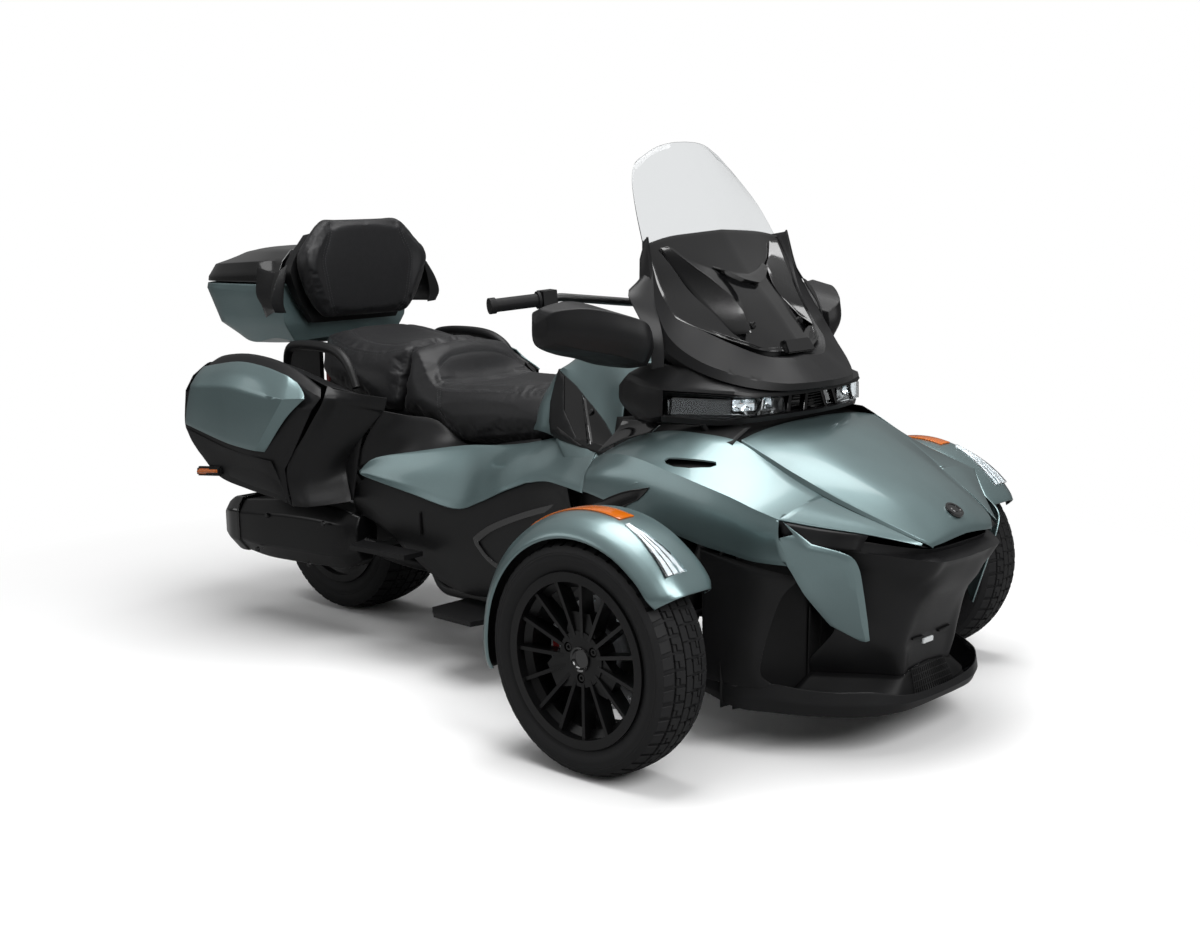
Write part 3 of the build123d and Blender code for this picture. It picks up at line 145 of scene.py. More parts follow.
# clear moulded sheet; the tint is the colour that is left after light has passed through
def clearSheet(name, tint):
    material, tree = newMaterial(name)
    place = addNode(tree, "ShaderNodeTexCoord").outputs["Object"]
    haze = addNode(tree, "ShaderNodeTexNoise", Vector=place, Scale=grain(60.0), Detail=1.0)
    shine = addNode(tree, "ShaderNodeMapRange", Value=haze.outputs[0], To_Min=0.014, To_Max=0.03)
    shader = addNode(
        tree,
        "ShaderNodeBsdfPrincipled",
        Base_Color=hexColour(tint),
        Roughness=shine.outputs[0],
        IOR=1.2,  # a thin sheet bends what lies behind it less than a solid block
        Transmission_Weight=1.0,
    )
    addNode(tree, "ShaderNodeOutputMaterial", Surface=shader.outputs[0])
    return material


# metal with fine marks left by its finishing
def workedMetal(name, colour, roughness, metallic=1.0, markMm=1.2, depth=0.1):
    material, tree = newMaterial(name)
    place = addNode(tree, "ShaderNodeTexCoord").outputs["Object"]
    mark = addNode(tree, "ShaderNodeTexNoise", Vector=place, Scale=grain(markMm), Detail=4.0)
    cloud = addNode(tree, "ShaderNodeTexNoise", Vector=place, Scale=grain(40.0), Detail=2.0)
    shine = addNode(
        tree, "ShaderNodeMapRange", Value=cloud.outputs[0], To_Min=roughness - 0.06, To_Max=roughness + 0.06
    )
    bump = addNode(tree, "ShaderNodeBump", Strength=depth, Distance=0.0002, Height=mark.outputs[0])
    shader = addNode(
        tree, "ShaderNodeBsdfPrincipled", Base_Color=hexColour(colour), Metallic=metallic, Roughness=shine.outputs[0],
        Normal=bump.outputs[0],
    )
    addNode(tree, "ShaderNodeOutputMaterial", Surface=shader.outputs[0])
    return material


# embossed vinyl leather: a pebble a little under 2 mm wide with soft valleys
def seatLeather(name, dark, light):
    material, tree = newMaterial(name)
    place = addNode(tree, "ShaderNodeTexCoord").outputs["Object"]
    pebble = addNode(
        tree, "ShaderNodeTexVoronoi", {"feature": "SMOOTH_F1"}, Vector=place, Scale=grain(1.923), Smoothness=0.6
    )
    crease = addNode(tree, "ShaderNodeTexNoise", Vector=place, Scale=grain(14.0), Detail=4.0)
    height = addNode(
        tree, "ShaderNodeMath", {"operation": "MULTIPLY_ADD"}, i0=pebble.outputs["Distance"], i1=-0.7,
        i2=crease.outputs[0],
    )
    colour = addNode(
        tree, "ShaderNodeMix", {"data_type": "RGBA"}, i0=crease.outputs[0], i6=hexColour(dark), i7=hexColour(light)
    )
    sheen = addNode(tree, "ShaderNodeMapRange", Value=pebble.outputs["Distance"], To_Min=0.4, To_Max=0.56)
    bump = addNode(tree, "ShaderNodeBump", Strength=0.35, Distance=0.0005, Height=height.outputs[0])
    shader = addNode(
        tree, "ShaderNodeBsdfPrincipled", Base_Color=colour.outputs[2], Roughness=sheen.outputs[0], IOR=1.5,
        Specular_IOR_Level=0.34, Normal=bump.outputs[0], Sheen_Weight=0.03, Sheen_Roughness=0.5,
    )
    addNode(tree, "ShaderNodeOutputMaterial", Surface=shader.outputs[0])
    return material


# vulcanised tread rubber, dry and a little dusty in its pores
def tyreRubber(name, dark, light):
    material, tree = newMaterial(name)
    place = addNode(tree, "ShaderNodeTexCoord").outputs["Object"]
    pore = addNode(tree, "ShaderNodeTexNoise", Vector=place, Scale=grain(1.6), Detail=4.0)
    dust = addNode(tree, "ShaderNodeTexNoise", Vector=place, Scale=grain(55.0), Detail=4.0)
    colour = addNode(
        tree, "ShaderNodeMix", {"data_type": "RGBA"}, i0=dust.outputs[0], i6=hexColour(dark), i7=hexColour(light)
    )
    dull = addNode(tree, "ShaderNodeMapRange", Value=dust.outputs[0], To_Min=0.55, To_Max=0.75)
    bump = addNode(tree, "ShaderNodeBump", Strength=0.2, Distance=0.0004, Height=pore.outputs[0])
    shader = addNode(
        tree, "ShaderNodeBsdfPrincipled", Base_Color=colour.outputs[2], Roughness=dull.outputs[0], IOR=1.5,
        Specular_IOR_Level=0.26, Normal=bump.outputs[0],
    )
    addNode(tree, "ShaderNodeOutputMaterial", Surface=shader.outputs[0])
    return material


# the lamps are off, as on a parked machine, so no lens has a lit colour
finishes = {
    "body_paint": metallicPaint("satinMetallicPaint", "#536869", "#8fa4a6", 0.33),
    "charcoal_plastic": mouldedPlastic("charcoalMouldedAbs", "#131314", "#19191a", 0.4, 1.1),
    "gloss_black": glossPlastic("polishedBlackAbs", "#060607", 0.1),
    "black_plastic": mouldedPlastic("grainedPolypropylene", "#0f0f10", "#151516", 0.46, 1.4, 0.2),
    "seat_leather": seatLeather("embossedVinyl", "#0f0f11", "#19191b"),
    "clear_screen": clearSheet("hardCoatedPolycarbonate", "#e3e5e6"),
    "smoke_screen": glossPlastic("smokedPolycarbonate", "#0b0b0c", 0.14),
    "lamp_lens": clearSheet("lampLensPolycarbonate", "#eef2f4"),
    "tail_lens": glossPlastic("redLampAcrylic", "#7a0a0c", 0.06),
    "mirror_glass": workedMetal("silveredGlass", "#cfd6da", 0.07, 1.0, 40.0, 0.0),
    "tyre_rubber": tyreRubber("vulcanisedRubber", "#161617", "#222223"),
    "wheel_black": workedMetal("satinBlackCasting", "#0d0d0e", 0.36, 0.35, 2.0, 0.08),
    "reflector": workedMetal("silveredReflector", "#e2e5e7", 0.12, 1.0, 30.0, 0.0),
    "disc_steel": workedMetal("turnedStainless", "#b4b6b8", 0.34),
    "frame_steel": workedMetal("powderCoatedSteel", "#0f0f10", 0.45, 0.0, 1.8, 0.2),
    "engine_metal": workedMetal("sandCastAluminium", "#2c2d2f", 0.5, 0.7, 2.4, 0.3),
    "muffler_metal": workedMetal("heatResistantBlack", "#121213", 0.3, 0.4, 2.0, 0.05),
    "grip_rubber": tyreRubber("grippedRubber", "#0e0e0f", "#171718"),
}
for part in frame["record"]["subparts"]:
    mesh = cadNodes[part["node"]].data
    mesh.materials.clear()
    mesh.materials.append(finishes[part["material_slot"]])
print("finishes on", len(cadNodes), "pieces")


# points are written in millimetres, as the part's own sizes are
def metres(point):
    return Vector(point) * 0.001


# the same rows on the left (side 1) or mirrored to the right (side -1)
def onSide(rows, side):
    return [[(x, side * y, z) for x, y, z in row] for row in rows]


# a smooth run through the given points; it turns sharply only at the points listed in corners
def smoothRun(points, corners=(), steps=6):
    stops = [0, *sorted(corners), len(points) - 1]
    run = [points[0]]
    for first, last in zip(stops, stops[1:]):
        span = points[first : last + 1]
        for i in range(len(span) - 1):
            before = span[i - 1] if i else span[i] * 2 - span[i + 1]
            after = span[i + 2] if i + 2 < len(span) else span[i + 1] * 2 - span[i]
            a, b = span[i], span[i + 1]
            slopeA, slopeB = (b - before) / 2, (after - a) / 2
            for k in range(1, steps + 1):
                t = k / steps
                run.append(
                    a * (2 * t**3 - 3 * t**2 + 1)
                    + slopeA * (t**3 - 2 * t**2 + t)
                    + b * (3 * t**2 - 2 * t**3)
                    + slopeB * (t**3 - t**2)
                )
    return run


# rows of points spanned by a smooth net; sharp rows and sharp columns stay as edges
def spanRows(rows, sharpRows=(), sharpCols=(), steps=(6, 6)):
    across = [smoothRun([metres(p) for p in row], sharpCols, steps[1]) for row in rows]
    down = [smoothRun(list(column), sharpRows, steps[0]) for column in zip(*across)]
    return [list(row) for row in zip(*down)]


# points on a seam that lie within 0.02 mm of each other become one
def weld(bm):
    bmesh.ops.remove_doubles(bm, verts=bm.verts, dist=2e-5)


# faces over a net of points, turned so that they look away from the core
def addNet(bm, net, core):
    core = metres(core)
    grid = [[bm.verts.new(p) for p in row] for row in net]
    faces = []
    for upper, lower in zip(grid, grid[1:]):
        for j in range(len(upper) - 1):
            corners = []
            for v in (upper[j], upper[j + 1], lower[j + 1], lower[j]):
                if all((v.co - c.co).length > 1e-7 for c in corners):  # a net may narrow to a point
                    corners.append(v)
            if len(corners) > 2:
                faces.append(bm.faces.new(corners))
    bm.normal_update()
    outward = sum((f.calc_center_median() - core).dot(f.normal) * f.calc_area() for f in faces)
    if outward < 0:
        bmesh.ops.reverse_faces(bm, faces=faces)
    return faces


# adds the right half of a piece that was drawn on the left
def mirrorMesh(bm):
    copy = bmesh.ops.duplicate(bm, geom=bm.verts[:] + bm.edges[:] + bm.faces[:])["geom"]
    for v in (g for g in copy if isinstance(g, bmesh.types.BMVert)):
        v.co.y = -v.co.y
    bmesh.ops.reverse_faces(bm, faces=[g for g in copy if isinstance(g, bmesh.types.BMFace)])


# smooth shading, with a hard edge where two faces meet at more than the angle
def sharpen(bm, angle):
    bm.normal_update()
    for edge in bm.edges:
        if len(edge.link_faces) == 2:
            edge.smooth = edge.calc_face_angle(0) < math.radians(angle)
    for face in bm.faces:
        face.smooth = True


def newPiece(bm, name):
    mesh = bpy.data.meshes.new(name)
    bm.to_mesh(mesh)
    bm.free()
    piece = bpy.data.objects.new(name, mesh)
    bpy.context.scene.collection.objects.link(piece)
    return piece


def toObject(bm, name, material, angle=28):
    weld(bm)
    sharpen(bm, angle)
    piece = newPiece(bm, name)
    piece.data.materials.append(finishes[material])
    return piece


# the piece's modifiers made part of its mesh
def applied(piece):
    depsgraph = bpy.context.evaluated_depsgraph_get()
    mesh = bpy.data.meshes.new_from_object(piece.evaluated_get(depsgraph), depsgraph=depsgraph)
    piece.modifiers.clear()
    piece.data = mesh


# a node tree that takes a mesh and the named inputs and gives back a mesh
def newTree(name, inputs):
    tree = bpy.data.node_groups.new(name, "GeometryNodeTree")
    for label, kind in {"Geometry": "Geometry", **inputs, "Finish": "Material"}.items():
        tree.interface.new_socket(label, in_out="INPUT", socket_type="NodeSocket" + kind)
    tree.interface.new_socket("Geometry", in_out="OUTPUT", socket_type="NodeSocketGeometry")
    return tree, addNode(tree, "NodeGroupInput").outputs


# the end of each tree: the copies are made real and given their finish
def closeTree(tree, given, geometry):
    real = addNode(tree, "GeometryNodeRealizeInstances", Geometry=geometry)
    finish = addNode(tree, "GeometryNodeSetMaterial", Geometry=real.outputs[0], Material=given["Finish"])
    addNode(tree, "NodeGroupOutput", Geometry=finish.outputs[0])
    return tree


# runs a tree on a piece, with values for its named inputs, and keeps the result as the piece's mesh
def runTree(piece, tree, values):
    nodes = piece.modifiers.new(tree.name, "NODES")
    nodes.node_group = tree
    for item in tree.interface.items_tree:
        if item.in_out == "INPUT" and item.name in values:
            nodes[item.identifier] = values[item.name]
    applied(piece)


# the same for a temporary mesh of points, which becomes the named piece
def grown(mesh, tree, values, name, material, angle):
    seed = bpy.data.objects.new(name, mesh)
    bpy.context.scene.collection.objects.link(seed)
    runTree(seed, tree, values | {"Finish": finishes[material]})
    bm = bmesh.new()
    bm.from_mesh(seed.data)
    bpy.data.objects.remove(seed)
    return toObject(bm, name, material, angle)


# the shape of another object at each point, turned as the point says
def pointTree():
    tree, given = newTree("shapeAtPoints", {"Shape": "Object", "Size": "Vector"})
    shape = addNode(tree, "GeometryNodeObjectInfo", Object=given["Shape"])
    turn = addNode(tree, "GeometryNodeInputNamedAttribute", {"data_type": "FLOAT_VECTOR"}, Name="turn")
    copies = addNode(
        tree, "GeometryNodeInstanceOnPoints", Points=given["Geometry"], Instance=shape.outputs["Geometry"],
        Rotation=turn.outputs[0], Scale=given["Size"],
    )
    return closeTree(tree, given, copies.outputs[0])


shapeAtPoints = pointTree()


# puts the shape in bm at the places, each with its own turn, as one piece; size is in metres
def atPoints(bm, places, turns, size, name, material, angle):
    shape = newPiece(bm, "shape")
    points = bpy.data.meshes.new("places")
    points.from_pydata(places, [], [])
    turn = points.attributes.new("turn", "FLOAT_VECTOR", "POINT")
    for entry, angles in zip(turn.data, turns):
        entry.vector = angles
    piece = grown(points, shapeAtPoints, {"Shape": shape, "Size": size}, name, material, angle)
    bpy.data.objects.remove(shape)
    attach(piece, "chassis")


# a round of the given width in millimetres on every edge sharper than the angle
def roundEdges(piece, width, segments, angle):
    bevel = piece.modifiers.new("edge", "BEVEL")
    bevel.width = width * 0.001
    bevel.segments = segments
    bevel.limit_method = "ANGLE"
    bevel.angle_limit = math.radians(angle)


# a moulded panel: nets of rows, given a wall inwards and a small round on every hard edge
def mouldShell(name, nets, core, material, wall=3.0, both=True, edgeRound=1.2, body="chassis", angle=28):
    bm = bmesh.new()
    for net in nets:
        addNet(bm, net, core)
    weld(bm)
    if both:
        mirrorMesh(bm)
        weld(bm)
    piece = toObject(bm, name, material, angle)
    thick = piece.modifiers.new("wall", "SOLIDIFY")
    thick.thickness = wall * 0.001
    thick.offset = -1
    thick.use_even_offset = True
    thick.thickness_clamp = 1.0
    if edgeRound:
        roundEdges(piece, edgeRound, 2, 38)
    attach(piece, body)
    return piece


# a bar or tile given by its eight corners, near face first
def cornerBlock(bm, near, far):
    a = [bm.verts.new(metres(p)) for p in near]
    b = [bm.verts.new(metres(p)) for p in far]
    faces = [bm.faces.new(a), bm.faces.new(list(reversed(b)))]
    faces += [bm.faces.new((a[i], b[i], b[(i + 1) % 4], a[(i + 1) % 4])) for i in range(4)]
    bmesh.ops.recalc_face_normals(bm, faces=faces)


# the blocks drawn so far as one piece, with a round of the given width in millimetres on their edges
def blockPiece(bm, name, material, width, segments, body="chassis", angle=28):
    bmesh.ops.bevel(bm, geom=bm.edges[:], offset=width * 0.001, segments=segments, affect="EDGES")
    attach(toObject(bm, name, material, angle), body)


# the painted shoulder, its beak towards the lid's lip, and the fang that drops over the intake
fairing = {
    "core": (900, 0, 350),
    "wall": 3.2,
    "shoulder": [
        [(556, 322, 690), (560, 392, 672), (560, 424, 640), (556, 430, 596)],
        [(640, 316, 728), (640, 410, 696), (640, 438, 650), (640, 444, 585)],
        [(740, 312, 750), (740, 430, 697), (740, 448, 640), (740, 453, 563)],
        [(850, 312, 752), (850, 438, 676), (850, 453, 620), (850, 458, 538)],
        [(948, 296, 739), (948, 441, 655), (948, 454, 600), (948, 460, 517)],
        [(1040, 287, 692), (1040, 440, 633), (1040, 451, 580), (1040, 452, 502)],
        [(1105, 273, 655), (1105, 437, 613), (1105, 447, 562), (1105, 440, 490)],
        [(1169, 255, 621), (1169, 430, 595), (1172, 436, 552), (1182, 416, 486)],
    ],
    "beak": [
        [(1169, 255, 621), (1169, 345, 614), (1169, 430, 595)],
        [(1230, 237, 594), (1230, 300, 587), (1230, 352, 572)],
        [(1300, 211, 564), (1300, 240, 559), (1300, 266, 550)],
        [(1384, 169, 523), (1384, 170, 521), (1384, 172, 518)],
    ],
    "fang": [
        [(1172, 436, 552), (1184, 424, 556), (1196, 410, 560), (1176, 424, 590)],
        [(1182, 416, 486), (1200, 408, 510), (1222, 395, 527), (1228, 385, 538)],
        [(1190, 404, 462), (1240, 376, 490), (1280, 350, 506), (1292, 338, 514)],
        [(1198, 392, 436), (1250, 362, 458), (1298, 332, 478), (1308, 316, 484)],
        [(1206, 372, 405), (1254, 335, 415), (1296, 306, 420), (1304, 290, 424)],
        [(1221, 304, 330), (1252, 286, 332), (1285, 268, 335), (1292, 253, 338)],
        [(1268, 252, 290), (1273, 248, 288), (1280, 243, 287), (1285, 234, 289)],
    ],
    "tail": [
        [(294, 256, 683), (420, 312, 660), (540, 368, 640), (600, 384, 668), (672, 392, 690)],
        [(397, 320, 628), (480, 362, 618), (585, 402, 618), (640, 412, 650), (700, 424, 690)],
        [(508, 396, 586), (560, 414, 590), (630, 434, 594), (690, 446, 618), (760, 450, 640)],
    ],
    "flange": [(300, 240, 700), (420, 285, 690), (520, 320, 664), (600, 340, 700), (660, 352, 722)],
    "seam": [
        [(948, 300, 727), (1040, 291, 681), (1105, 276, 645), (1169, 257, 612), (1230, 239, 585), (1300, 213, 556),
         (1384, 170, 515)],
        [(948, 276, 712), (1040, 270, 672), (1105, 258, 640), (1169, 236, 604), (1230, 216, 578), (1300, 190, 548),
         (1380, 140, 508)],
    ],
    "cheek": [
        [(1169, 428, 590), (1230, 350, 567), (1300, 264, 545)],
        [(1170, 420, 560), (1222, 356, 545), (1288, 262, 530)],
        [(1190, 408, 534), (1230, 348, 520), (1276, 262, 505)],
    ],
}
finishes["marker_white"] = glossPlastic("markerReflectorAcrylic", "#d9dcdd", 0.2)
# black polypropylene, made darker than the other plastics, for walls, floors, fills, gutters, slots and liners in
# recesses: that extra darkness is painted shade
finishes["recess_shade_black"] = mouldedPlastic("ductPolypropylene", "#070708", "#0d0d0e", 0.55, 1.6)
# the opening in the top of each fairing, seen from above, and the slope below it
vent = {
    "mouth": [(814, 412), (826, 421), (852, 422), (892, 412), (938, 390), (948, 378), (940, 370), (890, 384),
              (840, 396), (820, 402)],
    "floor": [
        [(800, 430, 668), (880, 430, 660), (980, 420, 650)],
        [(800, 395, 686), (880, 395, 680), (960, 388, 672)],
        [(800, 350, 706), (880, 350, 704), (952, 348, 694)],
    ],
}


# takes a straight-sided hole out of a panel on both sides, or keeps only what lies within it
def cutThrough(piece, outline, low, high, upright=True, keep=False):
    bm = bmesh.new()
    for side in (1, -1):
        ring = [bm.verts.new(metres((a, side * b, low) if upright else (a, side * low, b))) for a, b in outline]
        face = bm.faces.new(ring)
        lifted = bmesh.ops.extrude_face_region(bm, geom=[face])["geom"]
        for v in (g for g in lifted if isinstance(g, bmesh.types.BMVert)):
            if upright:
                v.co.z = high * 0.001
            else:
                v.co.y = side * high * 0.001
    bmesh.ops.recalc_face_normals(bm, faces=bm.faces)
    tool = newPiece(bm, "holeTool")
    cut = piece.modifiers.new("hole", "BOOLEAN")
    cut.operation = "INTERSECT" if keep else "DIFFERENCE"
    cut.object = tool
    cut.solver = "EXACT"
    cut.use_self = True
    cut.use_hole_tolerant = True
    applied(piece)
    bpy.data.objects.remove(tool)


def buildFairing():
    nets = [
        spanRows(fairing["shoulder"], sharpCols=(1,)),
        spanRows(fairing["beak"]),
        spanRows(fairing["fang"], sharpRows=(1, 5), sharpCols=(2,), steps=(4, 3)),
    ]
    piece = mouldShell("fairingShoulders", nets, fairing["core"], "body_paint", fairing["wall"])
    cutThrough(piece, vent["mouth"], 640, 800)
    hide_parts("side_fairings")
    tails = [
        spanRows(fairing["tail"], sharpRows=(1,), sharpCols=(2,), steps=(4, 4)),
        spanRows([fairing["flange"], fairing["tail"][0]], sharpCols=(2,), steps=(3, 4)),
    ]
    mouldShell("fairingTails", tails, fairing["core"], "body_paint", fairing["wall"], edgeRound=1.0)
    # the vent's floor and the gutters along the lid's seam take the near-black recess colour: painted shade in the vent
    # and the seam
    mouldShell("ventFloor", [spanRows(vent["floor"], steps=(5, 5))], (900, 400, 300), "recess_shade_black", 2.0, edgeRound=0)
    mouldShell("lidGutters", [spanRows(fairing["seam"])], (1100, 0, 200), "recess_shade_black", 1.5, edgeRound=0)
    cheek = spanRows(fairing["cheek"], sharpRows=(1,), steps=(3, 4))
    mouldShell("noseCheeks", [cheek], fairing["core"], "charcoal_plastic", 2.5, edgeRound=0)


# the lid over the front luggage bin: a soft crown with a crease each side and a rolled lip
hood = {
    "core": (1100, 0, 200),
    "rows": [
        [(948, 0, 764), (948, 75, 763), (948, 150, 759), (948, 220, 752), (948, 283, 741), (948, 289, 718)],
        [(1027, 0, 743), (1027, 75, 742), (1027, 149, 735), (1027, 215, 722), (1027, 279, 706), (1027, 284, 686)],
        [(1085, 0, 718), (1085, 74, 717), (1085, 147, 709), (1085, 208, 694), (1085, 267, 675), (1085, 271, 657)],
        [(1195, 0, 667), (1195, 70, 665), (1195, 140, 656), (1195, 190, 640), (1195, 237, 619), (1195, 240, 607)],
        [(1300, 0, 614), (1300, 64, 611), (1300, 127, 599), (1300, 165, 585), (1300, 199, 569), (1300, 202, 560)],
        [(1362, 0, 574), (1362, 56, 570), (1362, 114, 554), (1362, 142, 546), (1362, 167, 537), (1362, 169, 530)],
        [(1390, 0, 545), (1390, 52, 541), (1388, 102, 531), (1386, 124, 526), (1384, 144, 521), (1384, 146, 516)],
        [(1400, 0, 522), (1399, 48, 519), (1396, 95, 514), (1393, 114, 512), (1390, 130, 510), (1390, 132, 506)],
    ],
}


def buildHood():
    net = spanRows(hood["rows"], sharpCols=(4,))
    lid = mouldShell("trunkLidSkin", [net], hood["core"], "body_paint", 3.0, edgeRound=1.5, body="trunk_lid", angle=50)
    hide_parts("trunk_lid")


# the round badge on the lid carries no lettering: a dark dish with a raised rim and a stepped middle
badge = {
    "middle": (1366, 0, 574),
    "tilt": 33,
    "turns": 48,
    "profile": [
        (0.0, 2.2), (9.0, 2.2), (10.0, 1.2), (17.0, 1.2), (18.0, 2.6), (21.0, 3.0), (24.0, 2.4), (25.0, 0.0),
        (25.0, -3.0),
    ],
}


def buildBadge():
    net = []
    for k in range(badge["turns"] + 1):
        a = 2 * math.pi * k / badge["turns"]
        net.append([metres((r * math.cos(a), r * math.sin(a), h)) for r, h in badge["profile"]])
    bm = bmesh.new()
    addNet(bm, net, (0, 0, -40))
    seat = Matrix.Translation(metres(badge["middle"])) @ Matrix.Rotation(math.radians(badge["tilt"]), 4, "Y")
    bmesh.ops.transform(bm, matrix=seat, verts=bm.verts)
    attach(toObject(bm, "plainBadge", "gloss_black", 35), "trunk_lid")


# the dark face between the intakes, from the lid's lip down to the chin
nose = {
    "core": (1100, 0, 350),
    "rows": [
        [(1390, 0, 500), (1386, 95, 500), (1370, 142, 503), (1300, 222, 520), (1215, 300, 545), (1168, 372, 578)],
        [(1382, 0, 488), (1378, 92, 489), (1364, 144, 492), (1290, 235, 500), (1215, 305, 508), (1172, 360, 520)],
        [(1414, 0, 469), (1410, 92, 471), (1400, 152, 479), (1270, 256, 500), (1215, 298, 490), (1178, 345, 490)],
        [(1403, 0, 455), (1399, 86, 455), (1383, 140, 441), (1300, 206, 450), (1225, 258, 455), (1180, 310, 455)],
        [(1377, 0, 402), (1376, 94, 402), (1346, 130, 394), (1290, 180, 387), (1235, 220, 380), (1180, 260, 375)],
        [(1340, 0, 350), (1339, 80, 350), (1324, 126, 342), (1274, 168, 322), (1226, 200, 318), (1178, 232, 315)],
        [(1304, 0, 268), (1304, 78, 266), (1304, 124, 260), (1262, 165, 264), (1216, 200, 276), (1178, 230, 289)],
        [(1298, 0, 243), (1299, 78, 238), (1300, 118, 226), (1250, 150, 214), (1190, 200, 212), (1124, 250, 217)],
        [(1290, 0, 190), (1291, 70, 184), (1290, 108, 176), (1236, 140, 176), (1176, 190, 180), (1118, 240, 184)],
    ],
    "wall": 3.0,
}


def buildNoseTrim():
    bm = bmesh.new()
    cornerBlock(
        bm,
        [(1304, -30, 240), (1304, 14, 240), (1305, 14, 253), (1305, -30, 253)],
        [(1290, -30, 240), (1290, 14, 240), (1290, 14, 253), (1290, -30, 253)],
    )
    blockPiece(bm, "noseMarker", "marker_white", 1.5, 2)
    # the slots are near-black blocks on the face: painted shade where the slot openings are
    bm = bmesh.new()
    for side in (1, -1):
        cornerBlock(
            bm,
            [(1308, side * 34, 258), (1308, side * 84, 262), (1309, side * 84, 266), (1308, side * 34, 263)],
            [(1290, side * 34, 258), (1290, side * 84, 262), (1290, side * 84, 266), (1290, side * 34, 263)],
        )
    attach(toObject(bm, "noseSlots", "recess_shade_black"), "chassis")


def buildNose():
    net = spanRows(nose["rows"], sharpRows=(1, 2, 3))
    piece = mouldShell("noseFascia", [net], nose["core"], "charcoal_plastic", nose["wall"])
    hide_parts("nose_fascia")


# the outer wall of each intake and the lip that runs round under the nose
bumper = {
    "core": (900, 0, 330),
    "wall": 3.0,
    "side": [
        [(950, 446, 507), (1040, 436, 489), (1120, 415, 470), (1192, 380, 452)],
        [(956, 453, 492), (1042, 443, 472), (1116, 422, 452), (1182, 386, 440)],
        [(962, 456, 430), (1040, 443, 422), (1105, 422, 412), (1152, 398, 404)],
        [(958, 451, 330), (1028, 437, 325), (1084, 416, 322), (1116, 398, 322)],
        [(950, 442, 246), (1018, 428, 242), (1066, 412, 240), (1092, 399, 240)],
        [(944, 434, 204), (1016, 420, 200), (1066, 404, 198), (1089, 394, 204)],
        [(940, 428, 180), (1018, 412, 174), (1078, 392, 172), (1106, 378, 184)],
    ],
    "lip": [
        [(940, 428, 180), (1018, 412, 174), (1106, 378, 184), (1165, 340, 174), (1229, 298, 168), (1290, 238, 166),
         (1326, 170, 150), (1334, 90, 140), (1336, 0, 138)],
        [(937, 424, 160), (1024, 412, 144), (1112, 376, 146), (1172, 340, 140), (1238, 292, 136), (1300, 232, 134),
         (1334, 160, 128), (1341, 85, 124), (1343, 0, 123)],
        [(934, 416, 142), (1029, 408, 118), (1110, 368, 112), (1168, 330, 107), (1232, 282, 104), (1292, 226, 104),
         (1322, 156, 104), (1329, 85, 104), (1330, 0, 104)],
    ],
    "lipTop": [
        [(1096, 362, 176), (1150, 328, 166), (1214, 286, 160), (1272, 226, 156), (1306, 160, 140), (1312, 88, 130),
         (1314, 0, 128)],
        [(1060, 330, 140), (1120, 300, 130), (1180, 260, 126), (1230, 200, 124), (1262, 140, 121), (1270, 80, 120),
         (1272, 0, 120)],
    ],
}


def buildBumper():
    nets = [spanRows(bumper["side"]), spanRows(bumper["lip"], sharpRows=(1,))]
    piece = mouldShell("bumperShell", nets, bumper["core"], "charcoal_plastic", bumper["wall"], edgeRound=2.2)
    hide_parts("bumper_sides")
    splitter = mouldShell(
        "splitterTop", [spanRows([bumper["lip"][0][2:], *bumper["lipTop"]])], (1100, 0, -400), "gloss_black", 2.0
    )
    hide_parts("chin_splitter")


# the near-black walls that close the intakes at the back, below and behind the nose: sheets of painted shade
duct = {
    "core": (1400, 300, 300),
    "back": [
        [(1052, 434, 540), (1100, 330, 540), (1140, 262, 540)],
        [(1040, 430, 420), (1084, 330, 420), (1130, 258, 400)],
        [(1022, 420, 300), (1070, 320, 300), (1124, 250, 300)],
        [(1012, 408, 112), (1064, 310, 112), (1112, 244, 112)],
    ],
    "chinFoot": [(1314, 0, 122), (1312, 88, 124), (1302, 170, 124), (1252, 230, 124), (1182, 290, 124),
                 (1104, 340, 124)],
    "behindBack": [
        [(1012, 446, 570), (1030, 300, 570), (1070, 180, 570)],
        [(1000, 440, 340), (1020, 300, 340), (1060, 180, 340)],
        [(985, 420, 114), (1000, 300, 114), (1040, 180, 114)],
    ],
    "behindNose": [
        [(1129, 259, 354), (1120, 202, 342), (1113, 186, 317), (1108, 0, 317)],
        [(1113, 248, 112), (1108, 202, 112), (1106, 186, 112), (1102, 0, 112)],
    ],
    "floor": [
        [(1030, 376, 122), (1112, 366, 136), (1200, 300, 130), (1280, 220, 126), (1302, 100, 122), (1304, 0, 121)],
        [(1030, 340, 122), (1080, 300, 130), (1150, 240, 124), (1200, 160, 121), (1215, 80, 120), (1218, 0, 120)],
    ],
}


# the lower grille: wires down and across the sloping face below the nose
grille = {"radius": 0.0013, "sides": 6, "half": 72, "pitch": 8, "spread": 1.2, "crossWires": 5}


def buildGrille():
    bm = bmesh.new()
    half, radius = grille["half"], grille["radius"]
    wires = [((1297, y, 186), (1319, y * grille["spread"], 126)) for y in range(-half, half + 1, grille["pitch"])]
    for k in range(grille["crossWires"]):
        x, y, z = 1297 + 5.5 * k, half + 4 + 3 * k, 184 - 14 * k
        wires.append(((x, -y, z), (x, y, z)))
    for start, end in wires:
        run = metres(end) - metres(start)
        pose = Matrix.Translation(metres(start) + run / 2) @ run.to_track_quat("Z", "Y").to_matrix().to_4x4()
        size = {"segments": grille["sides"], "radius1": radius, "radius2": radius, "depth": run.length}
        bmesh.ops.create_cone(bm, cap_ends=True, matrix=pose, **size)
    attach(toObject(bm, "chinGrille", "charcoal_plastic", 40), "chassis")


